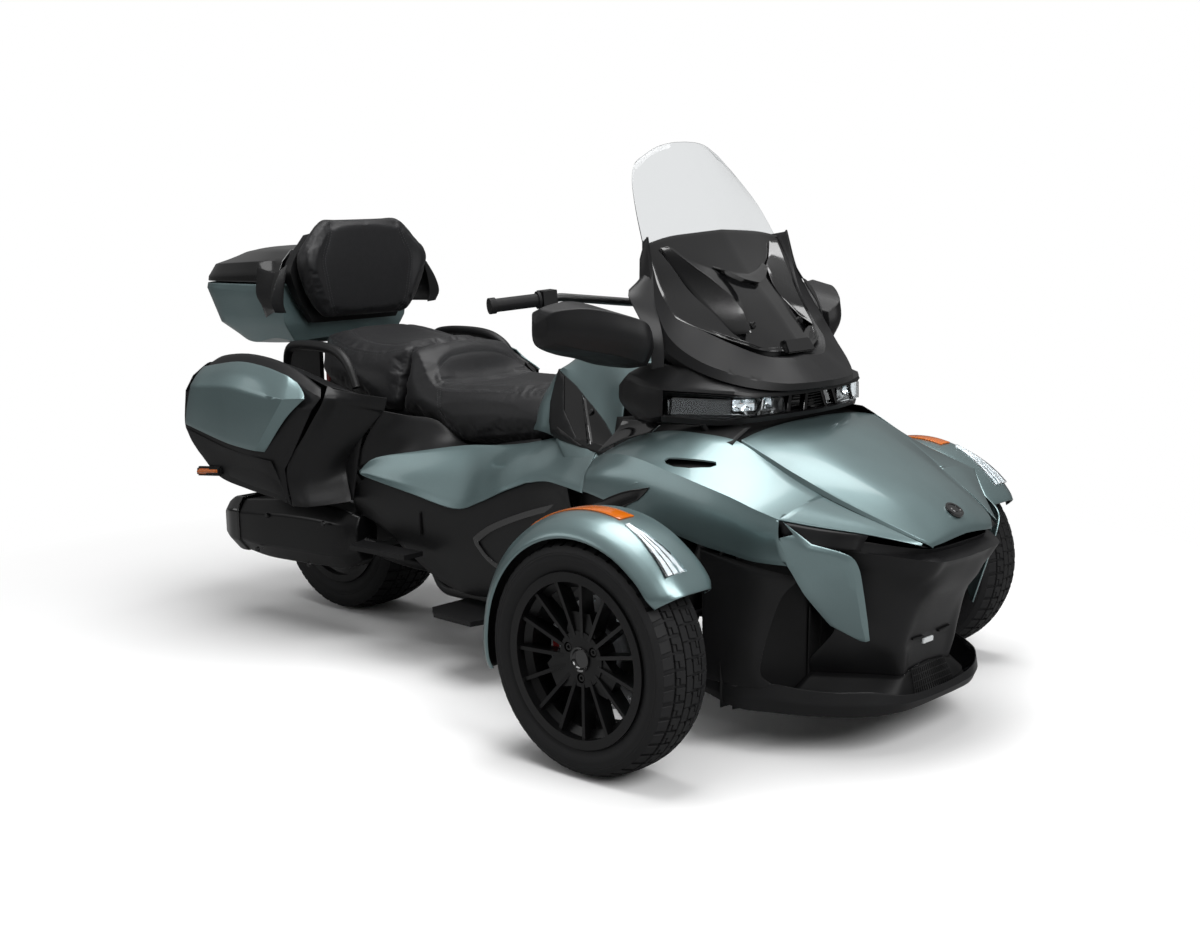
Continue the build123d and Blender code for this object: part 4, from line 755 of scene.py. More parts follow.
def buildDucts():
    nets = [spanRows(duct["back"]), spanRows(duct["behindNose"], sharpCols=(2,))]
    nets += [spanRows([nose["rows"][-1], duct["chinFoot"]]), spanRows(duct["behindBack"])]
    mouldShell("intakeBacks", nets, duct["core"], "recess_shade_black", 2.0, edgeRound=0)
    mouldShell("intakeFloor", [spanRows(duct["floor"])], (1150, 0, -300), "recess_shade_black", 2.0, edgeRound=0)


buildFairing()
buildHood()
buildBadge()
buildNoseTrim()
buildNose()
buildBumper()
buildDucts()
buildGrille()
print("front panels ready")


# the collar round the windshield's foot, which widens into the nose over the lamps
cowl = {
    "core": (620, 0, 900),
    "wall": 3.0,
    "collar": [
        [(906, 0, 924), (896, 56, 921), (870, 100, 926), (842, 148, 948), (782, 190, 985), (708, 232, 1030),
         (668, 256, 1100), (646, 262, 1160), (630, 262, 1215)],
        [(948, 0, 921), (938, 66, 920), (908, 122, 926), (866, 176, 950), (806, 220, 984), (738, 268, 1030),
         (700, 284, 1090), (680, 288, 1150), (664, 287, 1222)],
        [(1018, 0, 864), (1004, 86, 864), (966, 160, 868), (896, 238, 892), (822, 296, 930), (760, 326, 985),
         (712, 318, 1060), (684, 303, 1130), (663, 291, 1226)],
        [(1014, 0, 848), (1000, 90, 848), (960, 172, 850), (892, 248, 870), (812, 304, 908), (748, 334, 955),
         (700, 338, 1010), (668, 320, 1090), (650, 296, 1190)],
        [(985, 0, 840), (975, 88, 841), (935, 160, 844), (866, 232, 862), (790, 290, 896), (730, 318, 935),
         (680, 320, 990), (650, 306, 1070), (634, 286, 1170)],
    ],
    "flank": [
        [(664, 287, 1226), (656, 290, 1219), (647, 290, 1211)],
        [(680, 291, 1152), (666, 300, 1146), (653, 302, 1134)],
        [(690, 300, 1122), (672, 328, 1112), (655, 352, 1098)],
        [(714, 322, 1066), (698, 346, 1070), (674, 372, 1082)],
        [(740, 334, 1018), (724, 352, 1026), (702, 374, 1042)],
        [(752, 336, 968), (744, 350, 972), (732, 366, 980)],
        [(752, 336, 912), (744, 346, 910), (732, 358, 906)],
    ],
}


def buildCowl():
    nets = [
        spanRows(cowl["collar"], sharpRows=(1, 2, 3)),
        spanRows(cowl["flank"], sharpRows=(2,), sharpCols=(1,), steps=(4, 3)),
    ]
    piece = mouldShell("cowlCollar", nets, cowl["core"], "charcoal_plastic", cowl["wall"], edgeRound=1.6)
    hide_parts("upper_cowl")


# the angular box that holds the lamps, wrapping from the nose to behind the mirror's foot
lampBox = {
    "core": (700, 0, 820),
    "top": [
        [(990, 0, 846), (978, 90, 846), (940, 172, 850), (874, 246, 872), (800, 300, 908), (700, 322, 918),
         (650, 326, 900)],
        [(984, 0, 842), (972, 110, 842), (944, 214, 846), (914, 262, 854), (752, 342, 863), (690, 344, 878),
         (642, 341, 892)],
        [(984, 0, 834), (972, 112, 834), (946, 216, 838), (914, 266, 846), (754, 345, 855), (688, 348, 866),
         (624, 342, 876)],
    ],
    "side": [
        [(754, 346, 840), (686, 351, 846), (602, 336, 857)],
        [(752, 345, 812), (686, 351, 812), (605, 336, 816)],
        [(748, 341, 791), (706, 344, 782), (654, 332, 775)],
        [(735, 322, 774), (700, 326, 768), (665, 318, 764)],
    ],
    "brow": [
        [(984, 0, 834), (972, 112, 834), (946, 216, 836), (908, 266, 842), (748, 342, 850)],
        [(976, 0, 832), (964, 112, 832), (938, 213, 834), (900, 260, 838), (744, 334, 844)],
        [(936, 0, 826), (926, 108, 826), (902, 200, 828), (872, 246, 832), (744, 322, 838)],
    ],
    "backMiddle": [(934, 0, 800), (924, 108, 800), (900, 200, 802), (868, 246, 806), (742, 322, 812)],
    "chin": [
        [(940, 0, 786), (930, 108, 786), (906, 200, 788), (868, 250, 790), (742, 326, 792)],
        [(978, 0, 788), (966, 114, 788), (936, 222, 786), (880, 286, 784), (746, 342, 790)],
        [(974, 0, 778), (962, 114, 777), (932, 222, 774), (874, 284, 770), (742, 338, 776)],
        [(940, 0, 774), (928, 108, 773), (904, 200, 770), (860, 258, 766), (730, 318, 768)],
    ],
}


def buildLampBox():
    nets = [
        spanRows(lampBox["top"], sharpRows=(1,), sharpCols=(3, 4), steps=(5, 5)),
        spanRows([lampBox["top"][-1][4:], *lampBox["side"]], sharpRows=(1, 3), sharpCols=(1,), steps=(4, 3)),
        spanRows(lampBox["brow"], sharpRows=(1,), sharpCols=(2,)),
        spanRows(lampBox["chin"], sharpRows=(1, 2), sharpCols=(2,)),
    ]
    piece = mouldShell("lampBox", nets, lampBox["core"], "charcoal_plastic", 2.5, edgeRound=1.5)
    wall = spanRows([lampBox["brow"][-1], lampBox["backMiddle"], lampBox["chin"][0]], sharpCols=(2,))
    back = mouldShell("lampBoxInner", [wall], lampBox["core"], "gloss_black", 2.0, edgeRound=0)
    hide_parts("lamp_housing")
    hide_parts("centre_grille")


# silvered reflector cells behind each lens, and the barred grille between the lamps
lampCells = {
    "spans": [  # first corner and last corner seen from above, then the lower and the upper edge
        [(934, 205), (905, 252), (803, 830)],
        [(947, 150), (937, 192), (804, 830)],
    ],
    "rows": 5,
    "columns": 6,
    "dish": 14,
    "setBack": 8,
    "struts": [(98, 110, 958, 956), (196, 201, 944, 942), (40, 52, 966, 965)],  # y and x of both front edges
    "strutFoot": 790,
    "strutHead": 830,
    "slats": [796, 803, 810, 817, 824],
}


def dishRows(first, last, low, high, part):
    rows = []
    for i in range(lampCells["rows"] + 1):
        v = i / lampCells["rows"]
        row = []
        for j in range(lampCells["columns"] + 1):
            w = j / lampCells["columns"]
            u = (w + part) / 2
            x = first[0] + (last[0] - first[0]) * u
            y = first[1] + (last[1] - first[1]) * u
            sink = lampCells["dish"] * (1 - (2 * w - 1) ** 2) * (1 - (2 * v - 1) ** 2)
            row.append(metres((x - sink - lampCells["setBack"], y - sink * 0.3, low + (high - low) * v)))
        rows.append(row)
    return rows


def buildLampCells():
    bm = bmesh.new()
    for first, last, (low, high) in lampCells["spans"]:
        for part in (0, 1):
            addNet(bm, dishRows(first, last, low, high, part), (500, 150, 815))
    mirrorMesh(bm)
    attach(toObject(bm, "reflectorCells", "reflector", 60), "chassis")
    bm = bmesh.new()
    foot, head = lampCells["strutFoot"], lampCells["strutHead"]
    for side in (1, -1):
        for y0, y1, x0, x1 in lampCells["struts"]:
            near = [(x0, y0, foot), (x1, y1, foot), (x1 - 4, y1 - 14, head), (x0 - 4, y0 - 14, head)]
            near = [(x, side * y, z) for x, y, z in near]
            cornerBlock(bm, near, [(x - 16, y, z) for x, y, z in near])
    for z in lampCells["slats"]:
        near = [(960, -40, z), (960, 40, z), (960, 40, z + 2.4), (960, -40, z + 2.4)]
        cornerBlock(bm, near, [(x - 14, y, z + 2) for x, y, z in near])
    blockPiece(bm, "lampStruts", "gloss_black", 0.7, 1)


# the screen: a clear upper sheet, and a smoked base with two raised scoops and a slot at its foot
screen = {
    "core": (300, 0, 1150),
    "clear": [
        [(549, 0, 1464), (546, 55, 1461), (538, 108, 1449), (526, 162, 1420)],
        [(566, 0, 1440), (561, 75, 1437), (549, 138, 1424), (534, 190, 1402)],
        [(590, 0, 1392), (583, 85, 1389), (568, 165, 1376), (556, 220, 1360)],
        [(630, 0, 1306), (622, 95, 1304), (608, 190, 1298), (596, 252, 1291)],
        [(664, 0, 1232), (655, 100, 1228), (640, 200, 1218), (641, 276, 1200)],
    ],
    "smoked": [
        [(668, 0, 1236), (661, 95, 1231), (650, 190, 1224), (651, 281, 1208)],
        [(706, 0, 1180), (697, 100, 1174), (684, 200, 1164), (674, 282, 1150)],
        [(756, 0, 1118), (745, 100, 1110), (722, 196, 1096), (698, 284, 1084)],
        [(822, 0, 1052), (808, 96, 1042), (778, 186, 1034), (732, 280, 1032)],
        [(880, 0, 986), (866, 76, 980), (838, 150, 974), (808, 208, 984)],
        [(922, 0, 938), (908, 56, 934), (886, 104, 938), (868, 150, 956)],
    ],
    "scoop": [
        [(665, 242, 1196), (676, 226, 1200), (668, 204, 1199)],
        [(690, 222, 1142), (722, 194, 1158), (698, 160, 1162)],
        [(726, 202, 1090), (778, 152, 1104), (736, 104, 1132)],
        [(772, 186, 1038), (830, 126, 1044), (786, 82, 1072)],
        [(830, 158, 980), (866, 132, 984), (838, 104, 1012)],
    ],
    "lip": [
        [(720, 104, 1146), (748, 92, 1136), (726, 84, 1128)],
        [(742, 50, 1130), (776, 44, 1112), (752, 40, 1100)],
        [(754, 0, 1122), (792, 0, 1100), (762, 0, 1090)],
    ],
    "well": [
        [(914, 0, 946), (902, 56, 944), (880, 104, 946), (860, 152, 964), (800, 206, 992), (728, 276, 1038)],
        [(908, 0, 924), (896, 58, 920), (870, 104, 924), (842, 150, 942), (786, 196, 976), (712, 236, 1024)],
        [(930, 0, 916), (918, 62, 914), (888, 116, 920), (850, 166, 942), (796, 210, 976), (726, 262, 1022)],
    ],
}


def buildScreen():
    clear = mouldShell("screenClear", [spanRows(screen["clear"])], screen["core"], "clear_screen", 4.0, edgeRound=1.0)
    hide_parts("windshield")
    smoked = mouldShell("screenBase", [spanRows(screen["smoked"])], screen["core"], "smoke_screen", 4.0)
    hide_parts("windshield_panel")
    scoop = spanRows(screen["scoop"], sharpCols=(1,))
    mouldShell("screenScoops", [scoop], screen["core"], "smoke_screen", 3.0, edgeRound=1.5, angle=20)
    lip = spanRows(screen["lip"], sharpCols=(1,), steps=(5, 3))
    mouldShell("screenLip", [lip], screen["core"], "smoke_screen", 2.0, edgeRound=1.0, angle=20)
    well = spanRows(screen["well"], sharpRows=(1,), steps=(4, 6))
    mouldShell("screenWell", [well], (500, 0, 500), "gloss_black", 2.0, edgeRound=0)
    bm = bmesh.new()
    cornerBlock(
        bm,
        [(926, -58, 930), (926, 58, 930), (908, 52, 962), (908, -52, 962)],
        [(905, -58, 925), (905, 58, 925), (888, 52, 956), (888, -52, 956)],
    )
    blockPiece(bm, "screenFoot", "gloss_black", 3.0, 2)


# a creased mirror housing; rings run round it from the tip to the cowl, and the glass lies in its rear face
pod = {
    "core": (620, 460, 1000),
    "rings": [
        [(552, 580, 1026)] * 7,
        [(540, 576, 1044), (560, 576, 1052), (588, 574, 1044), (592, 574, 1016), (582, 574, 996), (560, 576, 990),
         (540, 576, 1000)],
        [(532, 562, 1054), (562, 562, 1066), (612, 556, 1058), (618, 554, 1014), (600, 556, 980), (566, 562, 968),
         (532, 562, 978)],
        [(531, 512, 1062), (590, 510, 1078), (664, 506, 1062), (668, 506, 1006), (642, 508, 962), (590, 510, 950),
         (531, 512, 958)],
        [(531, 450, 1054), (610, 450, 1068), (722, 448, 1046), (728, 448, 990), (698, 450, 946), (620, 450, 934),
         (533, 450, 944)],
        [(546, 405, 1030), (640, 405, 1046), (756, 404, 1026), (760, 402, 972), (736, 402, 926), (650, 405, 914),
         (550, 405, 928)],
        [(600, 368, 1000), (660, 368, 1012), (744, 368, 1000), (748, 368, 958), (726, 368, 916), (660, 368, 906),
         (606, 368, 918)],
        [(668, 364, 960)] * 7,
    ],
}


def buildPods():
    rings = [ring + ring[:1] for ring in pod["rings"]]
    net = spanRows(rings, sharpRows=(1, 6), sharpCols=(1, 2, 4), steps=(6, 5))
    bm = bmesh.new()
    addNet(bm, net, pod["core"])
    weld(bm)
    bmesh.ops.dissolve_degenerate(bm, edges=bm.edges, dist=1e-5)
    mirrorMesh(bm)
    shell = toObject(bm, "mirrorShells", "charcoal_plastic", 32)
    roundEdges(shell, 3.0, 3, 32)
    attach(shell, "chassis")
    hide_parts("mirror_pods")


buildCowl()
buildLampBox()
buildLampCells()
buildScreen()
buildPods()
print("cowl, lamps and screen ready")


# the console: a painted body that falls to the seat, with a dark inset in each flank
tank = {
    "core": (400, 0, 560),
    "rows": [
        [(134, 0, 792), (134, 60, 790), (134, 105, 786), (136, 140, 778), (138, 166, 740), (140, 186, 690)],
        [(170, 0, 824), (170, 66, 822), (170, 112, 816), (170, 152, 806), (176, 184, 760), (180, 204, 692)],
        [(236, 0, 884), (236, 74, 882), (236, 122, 878), (238, 166, 866), (232, 190, 790), (226, 218, 690)],
        [(320, 0, 928), (320, 84, 926), (320, 140, 918), (320, 198, 838), (316, 226, 766), (312, 256, 684)],
        [(409, 0, 940), (409, 94, 936), (405, 170, 908), (409, 240, 792), (404, 262, 734), (400, 286, 680)],
        [(486, 0, 938), (486, 110, 932), (484, 212, 884), (486, 272, 752), (484, 288, 706), (482, 306, 672)],
        [(560, 0, 934), (560, 130, 924), (560, 262, 850), (560, 306, 720), (560, 316, 690), (560, 326, 672)],
        [(580, 0, 932), (580, 136, 922), (580, 274, 836), (580, 312, 716), (580, 322, 690), (580, 330, 672)],
    ],
}
# outlines in the side view: the eye-shaped inset, the strut across it and the band along its foot
inset = {
    "eye": [(222, 862), (330, 826), (431, 782), (505, 745), (568, 707), (560, 688), (517, 662), (400, 670), (251, 692),
            (228, 722), (216, 775)],
    "frame": [(224, 858), (262, 846), (300, 760), (392, 700), (548, 692), (558, 687), (517, 664), (400, 672),
              (252, 694), (230, 723), (218, 775)],
    "strut": [(372, 806), (386, 799), (466, 690), (450, 688)],
    "strip": [(286, 716), (430, 684), (424, 679), (284, 708)],
}


def buildConsole():
    net = spanRows(tank["rows"], sharpCols=(3,), steps=(6, 5))
    shell = mouldShell("consoleBody", [net], tank["core"], "body_paint", 3.2)
    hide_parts("console")
    for name, outline, proud, material in (
        ("consoleInset", inset["eye"], 2.5, "gloss_black"),
        ("insetFrame", inset["frame"], 4.5, "charcoal_plastic"),
        ("insetStrut", inset["strut"], 6.0, "gloss_black"),
        ("insetStrip", inset["strip"], 5.5, "frame_steel"),
    ):
        plate = mouldShell(name, [net], tank["core"], material, proud, edgeRound=0)
        plate.modifiers["wall"].offset = 1
        cutThrough(plate, outline, 100, 420, upright=False, keep=True)
        if name == "consoleInset":
            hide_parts("console_trims")


# the near-black fill between the shoulders and the underside of the lamp box, a sheet of painted shade like the wall
# under the seat, with its blade at the outer end
underLamp = {
    "fill": [
        [(560, 300, 770), (640, 300, 778), (740, 292, 772), (850, 262, 770), (944, 240, 768)],
        [(562, 312, 730), (640, 306, 752), (740, 300, 760), (850, 286, 758), (944, 288, 746)],
        [(566, 322, 690), (640, 318, 724), (740, 314, 746), (850, 314, 748), (944, 312, 734)],
    ],
    "deck": [
        [(440, 0, 720), (440, 200, 712), (440, 292, 676)],
        [(560, 0, 752), (560, 200, 744), (560, 326, 684)],
        [(640, 0, 764), (640, 200, 758), (640, 322, 726)],
        [(740, 0, 768), (740, 200, 764), (740, 318, 747)],
        [(850, 0, 768), (850, 200, 764), (850, 316, 749)],
        [(944, 0, 758), (944, 200, 750), (944, 304, 734)],
    ],
    "apron": [
        [(470, 352, 592), (560, 384, 592), (650, 424, 592)],
        [(462, 344, 460), (560, 366, 450), (650, 396, 440)],
        [(456, 320, 330), (560, 330, 320), (650, 350, 310)],
    ],
    "seatWall": [
        [(-236, 186, 704), (-400, 186, 716), (-600, 186, 738), (-780, 170, 790)],
        [(-236, 196, 600), (-400, 196, 612), (-600, 186, 640), (-800, 160, 660)],
    ],
    "blade": [
        [(575, 392, 694), (640, 372, 726), (720, 350, 750)],
        [(600, 350, 742), (660, 342, 756), (730, 334, 764)],
        [(614, 336, 772), (668, 330, 772), (735, 322, 770)],
    ],
    "wedge": [
        [(598, 446, 566), (706, 449, 612), (800, 451, 634)],
        [(640, 448, 566), (715, 450, 594), (785, 452, 616)],
        [(700, 452, 562), (724, 453, 580), (762, 453, 598)],
    ],
}


def buildUnderLamp():
    nets = [spanRows(underLamp["fill"]), spanRows(underLamp["deck"], steps=(3, 3)), spanRows(underLamp["apron"])]
    mouldShell("underLampFill", nets, (800, 0, 500), "recess_shade_black", 2.0, edgeRound=0)
    mouldShell("underSeatWall", [spanRows(underLamp["seatWall"])], (-500, 0, 660), "recess_shade_black", 2.0, edgeRound=0)
    mouldShell("underLampBlade", [spanRows(underLamp["blade"])], (640, 0, 500), "gloss_black", 3.0, edgeRound=1.0)
    wedge = [[(x, y + 2.5, z) for x, y, z in row] for row in underLamp["wedge"]]
    mouldShell("fairingWedge", [spanRows(wedge, steps=(3, 3))], (700, 0, 590), "gloss_black", 2.0, edgeRound=0.6)


# the painted side panel, the dark covers above and below it, and the gloss rim of the lower one
flank = {
    "core": (0, 0, 560),
    "panel": [
        [(-456, 331, 535), (-455, 331, 533), (-453, 332, 529), (-450, 333, 526)],
        [(-395, 316, 578), (-398, 322, 552), (-402, 330, 528), (-405, 337, 519)],
        [(-240, 282, 608), (-228, 304, 556), (-216, 332, 507), (-210, 345, 496)],
        [(-80, 246, 634), (-56, 284, 562), (-30, 334, 486), (-21, 350, 474)],
        [(30, 228, 642), (52, 284, 586), (76, 338, 515), (84, 351, 503)],
        [(120, 212, 652), (146, 293, 612), (166, 338, 553), (174, 352, 541)],
        [(200, 204, 668), (226, 288, 628), (262, 340, 589), (272, 354, 577)],
        [(290, 224, 688), (320, 286, 644), (356, 358, 604), (364, 371, 593)],
        [(390, 262, 686), (424, 326, 648), (462, 396, 606), (472, 406, 594)],
        [(490, 306, 676), (520, 364, 646), (548, 420, 604), (552, 428, 590)],
    ],
    "lower": [
        [(-508, 322, 470), (-508, 320, 440), (-502, 312, 402)],
        [(-405, 333, 518), (-395, 332, 440), (-380, 318, 372)],
        [(-210, 340, 495), (-230, 336, 410), (-250, 318, 303)],
        [(-100, 343, 484), (-110, 336, 370), (-126, 312, 240)],
        [(-18, 345, 473), (0, 338, 360), (13, 320, 222)],
        [(130, 345, 526), (137, 340, 400), (150, 330, 240)],
        [(270, 347, 576), (280, 347, 440), (290, 336, 262)],
        [(366, 364, 593), (368, 355, 450), (368, 338, 276)],
        [(470, 398, 593), (470, 366, 450), (470, 340, 290)],
    ],
    "underSeat": [
        [(-352, 316, 720), (-300, 268, 706), (-220, 226, 694), (-140, 206, 640), (-60, 214, 628), (60, 200, 650),
         (180, 196, 670)],
        [(-420, 326, 640), (-330, 300, 640), (-235, 262, 640), (-145, 240, 628), (-62, 232, 622), (60, 216, 642),
         (190, 206, 662)],
        [(-472, 330, 544), (-395, 315, 572), (-240, 284, 602), (-150, 262, 618), (-66, 246, 616), (60, 224, 636),
         (196, 210, 655)],
    ],
    "rim": [
        [(52, 343, 390), (60, 346, 404), (126, 346, 444), (250, 351, 492), (390, 362, 534), (470, 376, 552)],
        [(54, 338, 374), (70, 341, 388), (134, 341, 428), (256, 346, 476), (394, 357, 518), (472, 371, 536)],
    ],
    "rimLow": [
        [(52, 343, 390), (62, 341, 372), (96, 338, 340), (140, 335, 318), (180, 334, 300)],
        [(66, 343, 392), (76, 341, 378), (108, 338, 348), (150, 335, 328), (190, 334, 310)],
    ],
}


def buildFlanks():
    net = spanRows(flank["panel"], sharpRows=(6,), sharpCols=(2,))
    skins = mouldShell("sideSkins", [net], flank["core"], "body_paint", 3.0, edgeRound=2.4)
    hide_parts("side_panels")
    nets = [spanRows(flank["lower"], steps=(5, 5)), spanRows(flank["underSeat"], steps=(4, 6))]
    covers = mouldShell("lowerSkins", nets, flank["core"], "charcoal_plastic", 3.0)
    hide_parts("lower_covers")
    trim = []
    for name in ("rim", "rimLow"):
        trim.append(spanRows([[(x, y + 3, z) for x, y, z in row] for row in flank[name]], steps=(3, 6)))
    mouldShell("coverRims", trim, flank["core"], "gloss_black", 5.0, edgeRound=1.2)
    # the slots in the lower covers are near-black blocks: painted shade of their openings
    bm = bmesh.new()
    for side in (1, -1):
        near = [(-186, side * 343, 372), (-172, side * 343, 376), (-168, side * 345, 448), (-180, side * 345, 446)]
        cornerBlock(bm, near, [(x, y - side * 8, z) for x, y, z in near])
    blockPiece(bm, "coverSlots", "recess_shade_black", 4.0, 3)


buildConsole()
buildUnderLamp()
buildFlanks()
print("console and flanks ready")


# side cases: the lid is a cup that opens outwards, its painted skin and ribbed foot lie on it
case = {
    "core": (-760, 300, 640),
    "lid": [
        [(-1040, 420, 838), (-960, 420, 864), (-812, 420, 872), (-640, 420, 846), (-505, 420, 790)],
        [(-1052, 436, 832), (-960, 440, 862), (-812, 440, 872), (-640, 436, 848), (-490, 432, 786)],
        [(-1066, 470, 792), (-960, 472, 824), (-812, 470, 838), (-640, 466, 824), (-470, 450, 766)],
        [(-1076, 508, 748), (-960, 514, 772), (-812, 514, 768), (-660, 510, 756), (-492, 470, 728)],
        [(-1080, 517, 652), (-960, 517, 628), (-840, 517, 606), (-720, 510, 590), (-594, 472, 588)],
        [(-1062, 512, 610), (-950, 512, 588), (-830, 510, 566), (-700, 500, 552), (-630, 474, 542)],
        [(-1016, 508, 566), (-930, 500, 500), (-800, 490, 472), (-657, 480, 452), (-612, 470, 436)],
        [(-990, 460, 530), (-922, 440, 484), (-800, 430, 460), (-660, 425, 442), (-610, 424, 430)],
        [(-975, 420, 520), (-915, 420, 482), (-800, 420, 458), (-660, 420, 440), (-608, 420, 430)],
    ],
    "lidRear": [
        [(-1040, 420, 838), (-1052, 440, 836), (-1070, 484, 800), (-1076, 510, 755), (-1080, 517, 652),
         (-1062, 512, 610), (-1016, 508, 566), (-990, 460, 530), (-975, 420, 520)],
        [(-1050, 420, 822), (-1060, 440, 820), (-1074, 470, 790), (-1080, 490, 745), (-1084, 495, 660),
         (-1070, 490, 610), (-1026, 486, 566), (-1000, 450, 532), (-988, 420, 524)],
        [(-1058, 420, 800), (-1066, 430, 790), (-1078, 440, 760), (-1084, 440, 730), (-1086, 440, 660),
         (-1074, 440, 612), (-1034, 436, 570), (-1006, 428, 536), (-996, 420, 530)],
    ],
    "skin": [
        [(-1010, 482, 832), (-831, 480, 856), (-700, 478, 848), (-596, 472, 826), (-560, 462, 806)],
        [(-1020, 504, 806), (-836, 504, 826), (-705, 502, 816), (-580, 496, 792), (-520, 474, 782)],
        [(-1030, 521, 776), (-840, 523, 786), (-705, 523, 774), (-560, 520, 762), (-500, 486, 764)],
        [(-1052, 524, 712), (-850, 525, 706), (-720, 525, 697), (-615, 522, 700), (-578, 500, 700)],
        [(-1072, 522, 650), (-870, 524, 612), (-775, 524, 601), (-712, 521, 596), (-686, 502, 592)],
    ],
    "foot": [
        [(-1070, 520, 636), (-960, 520, 612), (-850, 519, 590), (-716, 511, 574), (-662, 500, 566)],
        [(-1052, 516, 600), (-945, 512, 548), (-820, 502, 520), (-690, 492, 504), (-640, 484, 500)],
        [(-1022, 512, 566), (-930, 504, 496), (-800, 494, 468), (-662, 484, 450), (-622, 476, 440)],
    ],
    "shell": [
        [(-490, 408, 796), (-470, 400, 786), (-400, 362, 772), (-316, 330, 762)],
        [(-470, 436, 768), (-452, 402, 760), (-400, 364, 744), (-330, 328, 728)],
        [(-478, 442, 744), (-460, 398, 734), (-412, 360, 728), (-350, 322, 716)],
        [(-548, 456, 650), (-522, 420, 640), (-470, 374, 640), (-430, 332, 640)],
        [(-624, 470, 544), (-578, 440, 510), (-540, 386, 520), (-512, 332, 545)],
        [(-606, 470, 432), (-552, 460, 434), (-510, 410, 438), (-472, 352, 444)],
    ],
    "inner": [
        [(-1030, 412, 836), (-900, 412, 866), (-740, 412, 860), (-560, 412, 815), (-488, 408, 794)],
        [(-1020, 372, 816), (-900, 362, 842), (-740, 356, 838), (-560, 350, 800), (-440, 350, 772)],
        [(-1010, 334, 780), (-900, 330, 806), (-740, 330, 804), (-560, 330, 782), (-340, 330, 745)],
        [(-1030, 330, 650), (-880, 330, 640), (-740, 330, 640), (-560, 330, 640), (-432, 330, 640)],
        [(-962, 334, 500), (-880, 330, 474), (-740, 330, 450), (-590, 330, 436), (-476, 340, 446)],
        [(-962, 412, 500), (-880, 412, 474), (-740, 412, 452), (-620, 412, 434), (-560, 440, 434)],
    ],
    "innerRear": [
        [(-1046, 412, 790), (-1044, 390, 770), (-1040, 370, 720), (-1042, 366, 650), (-1010, 380, 560),
         (-1000, 412, 550)],
        [(-1054, 412, 700), (-1054, 410, 690), (-1054, 408, 680), (-1054, 408, 650), (-1046, 410, 620),
         (-1044, 412, 616)],
    ],
    "marker": [(-1022, 528, 496), (-912, 526, 506), (-908, 526, 524), (-1018, 528, 514)],
    "markerSeat": [(-1028, 522, 490), (-906, 520, 500), (-902, 520, 530), (-1024, 522, 520)],
    "markerDepth": 16,
}


def buildCases():
    for side, body in ((1, "pannier_lid_left"), (-1, "pannier_lid_right")):
        tag = "Left" if side == 1 else "Right"
        core = (case["core"][0], side * case["core"][1], case["core"][2])
        nets = [
            spanRows(onSide(case["lid"], side), sharpRows=(2, 3, 5), steps=(4, 5)),
            spanRows(onSide(case["lidRear"], side), sharpCols=(2, 3, 5), steps=(4, 4)),
        ]
        lid = mouldShell("caseLid" + tag, nets, core, "charcoal_plastic", 3.0, both=False, edgeRound=1.5, body=body)
        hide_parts(body)
        skin = spanRows(onSide(case["skin"], side), sharpRows=(2,), sharpCols=(3,), steps=(5, 5))
        mouldShell("caseSkin" + tag, [skin], core, "body_paint", 4.0, both=False, body=body)
        foot = spanRows(onSide(case["foot"], side), steps=(12, 10))
        mouldShell("caseFoot" + tag, [foot], core, "ribbed_plastic", 2.5, both=False, edgeRound=0.8, body=body)
        for name, corners, material, width, segments in (
            ("caseMarker", case["marker"], "amber_lens", 6.0, 3),
            ("markerSeat", case["markerSeat"], "black_plastic", 5.0, 2),
        ):
            bm = bmesh.new()
            near = [(x, side * y, z) for x, y, z in corners]
            cornerBlock(bm, near, [(x, y - side * case["markerDepth"], z) for x, y, z in near])
            blockPiece(bm, name + tag, material, width, segments, body)
    nets = [
        spanRows(case["shell"], sharpRows=(2,), sharpCols=(1,), steps=(5, 4)),
        spanRows(case["inner"], sharpRows=(2, 4), steps=(4, 5)),
        spanRows([[row[0] for row in case["inner"]], *case["innerRear"]], sharpCols=(2, 4), steps=(3, 4)),
    ]
    shells = mouldShell("caseShells", nets, (-740, 400, 640), "charcoal_plastic", 3.0)
    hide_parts("pannier_shells")


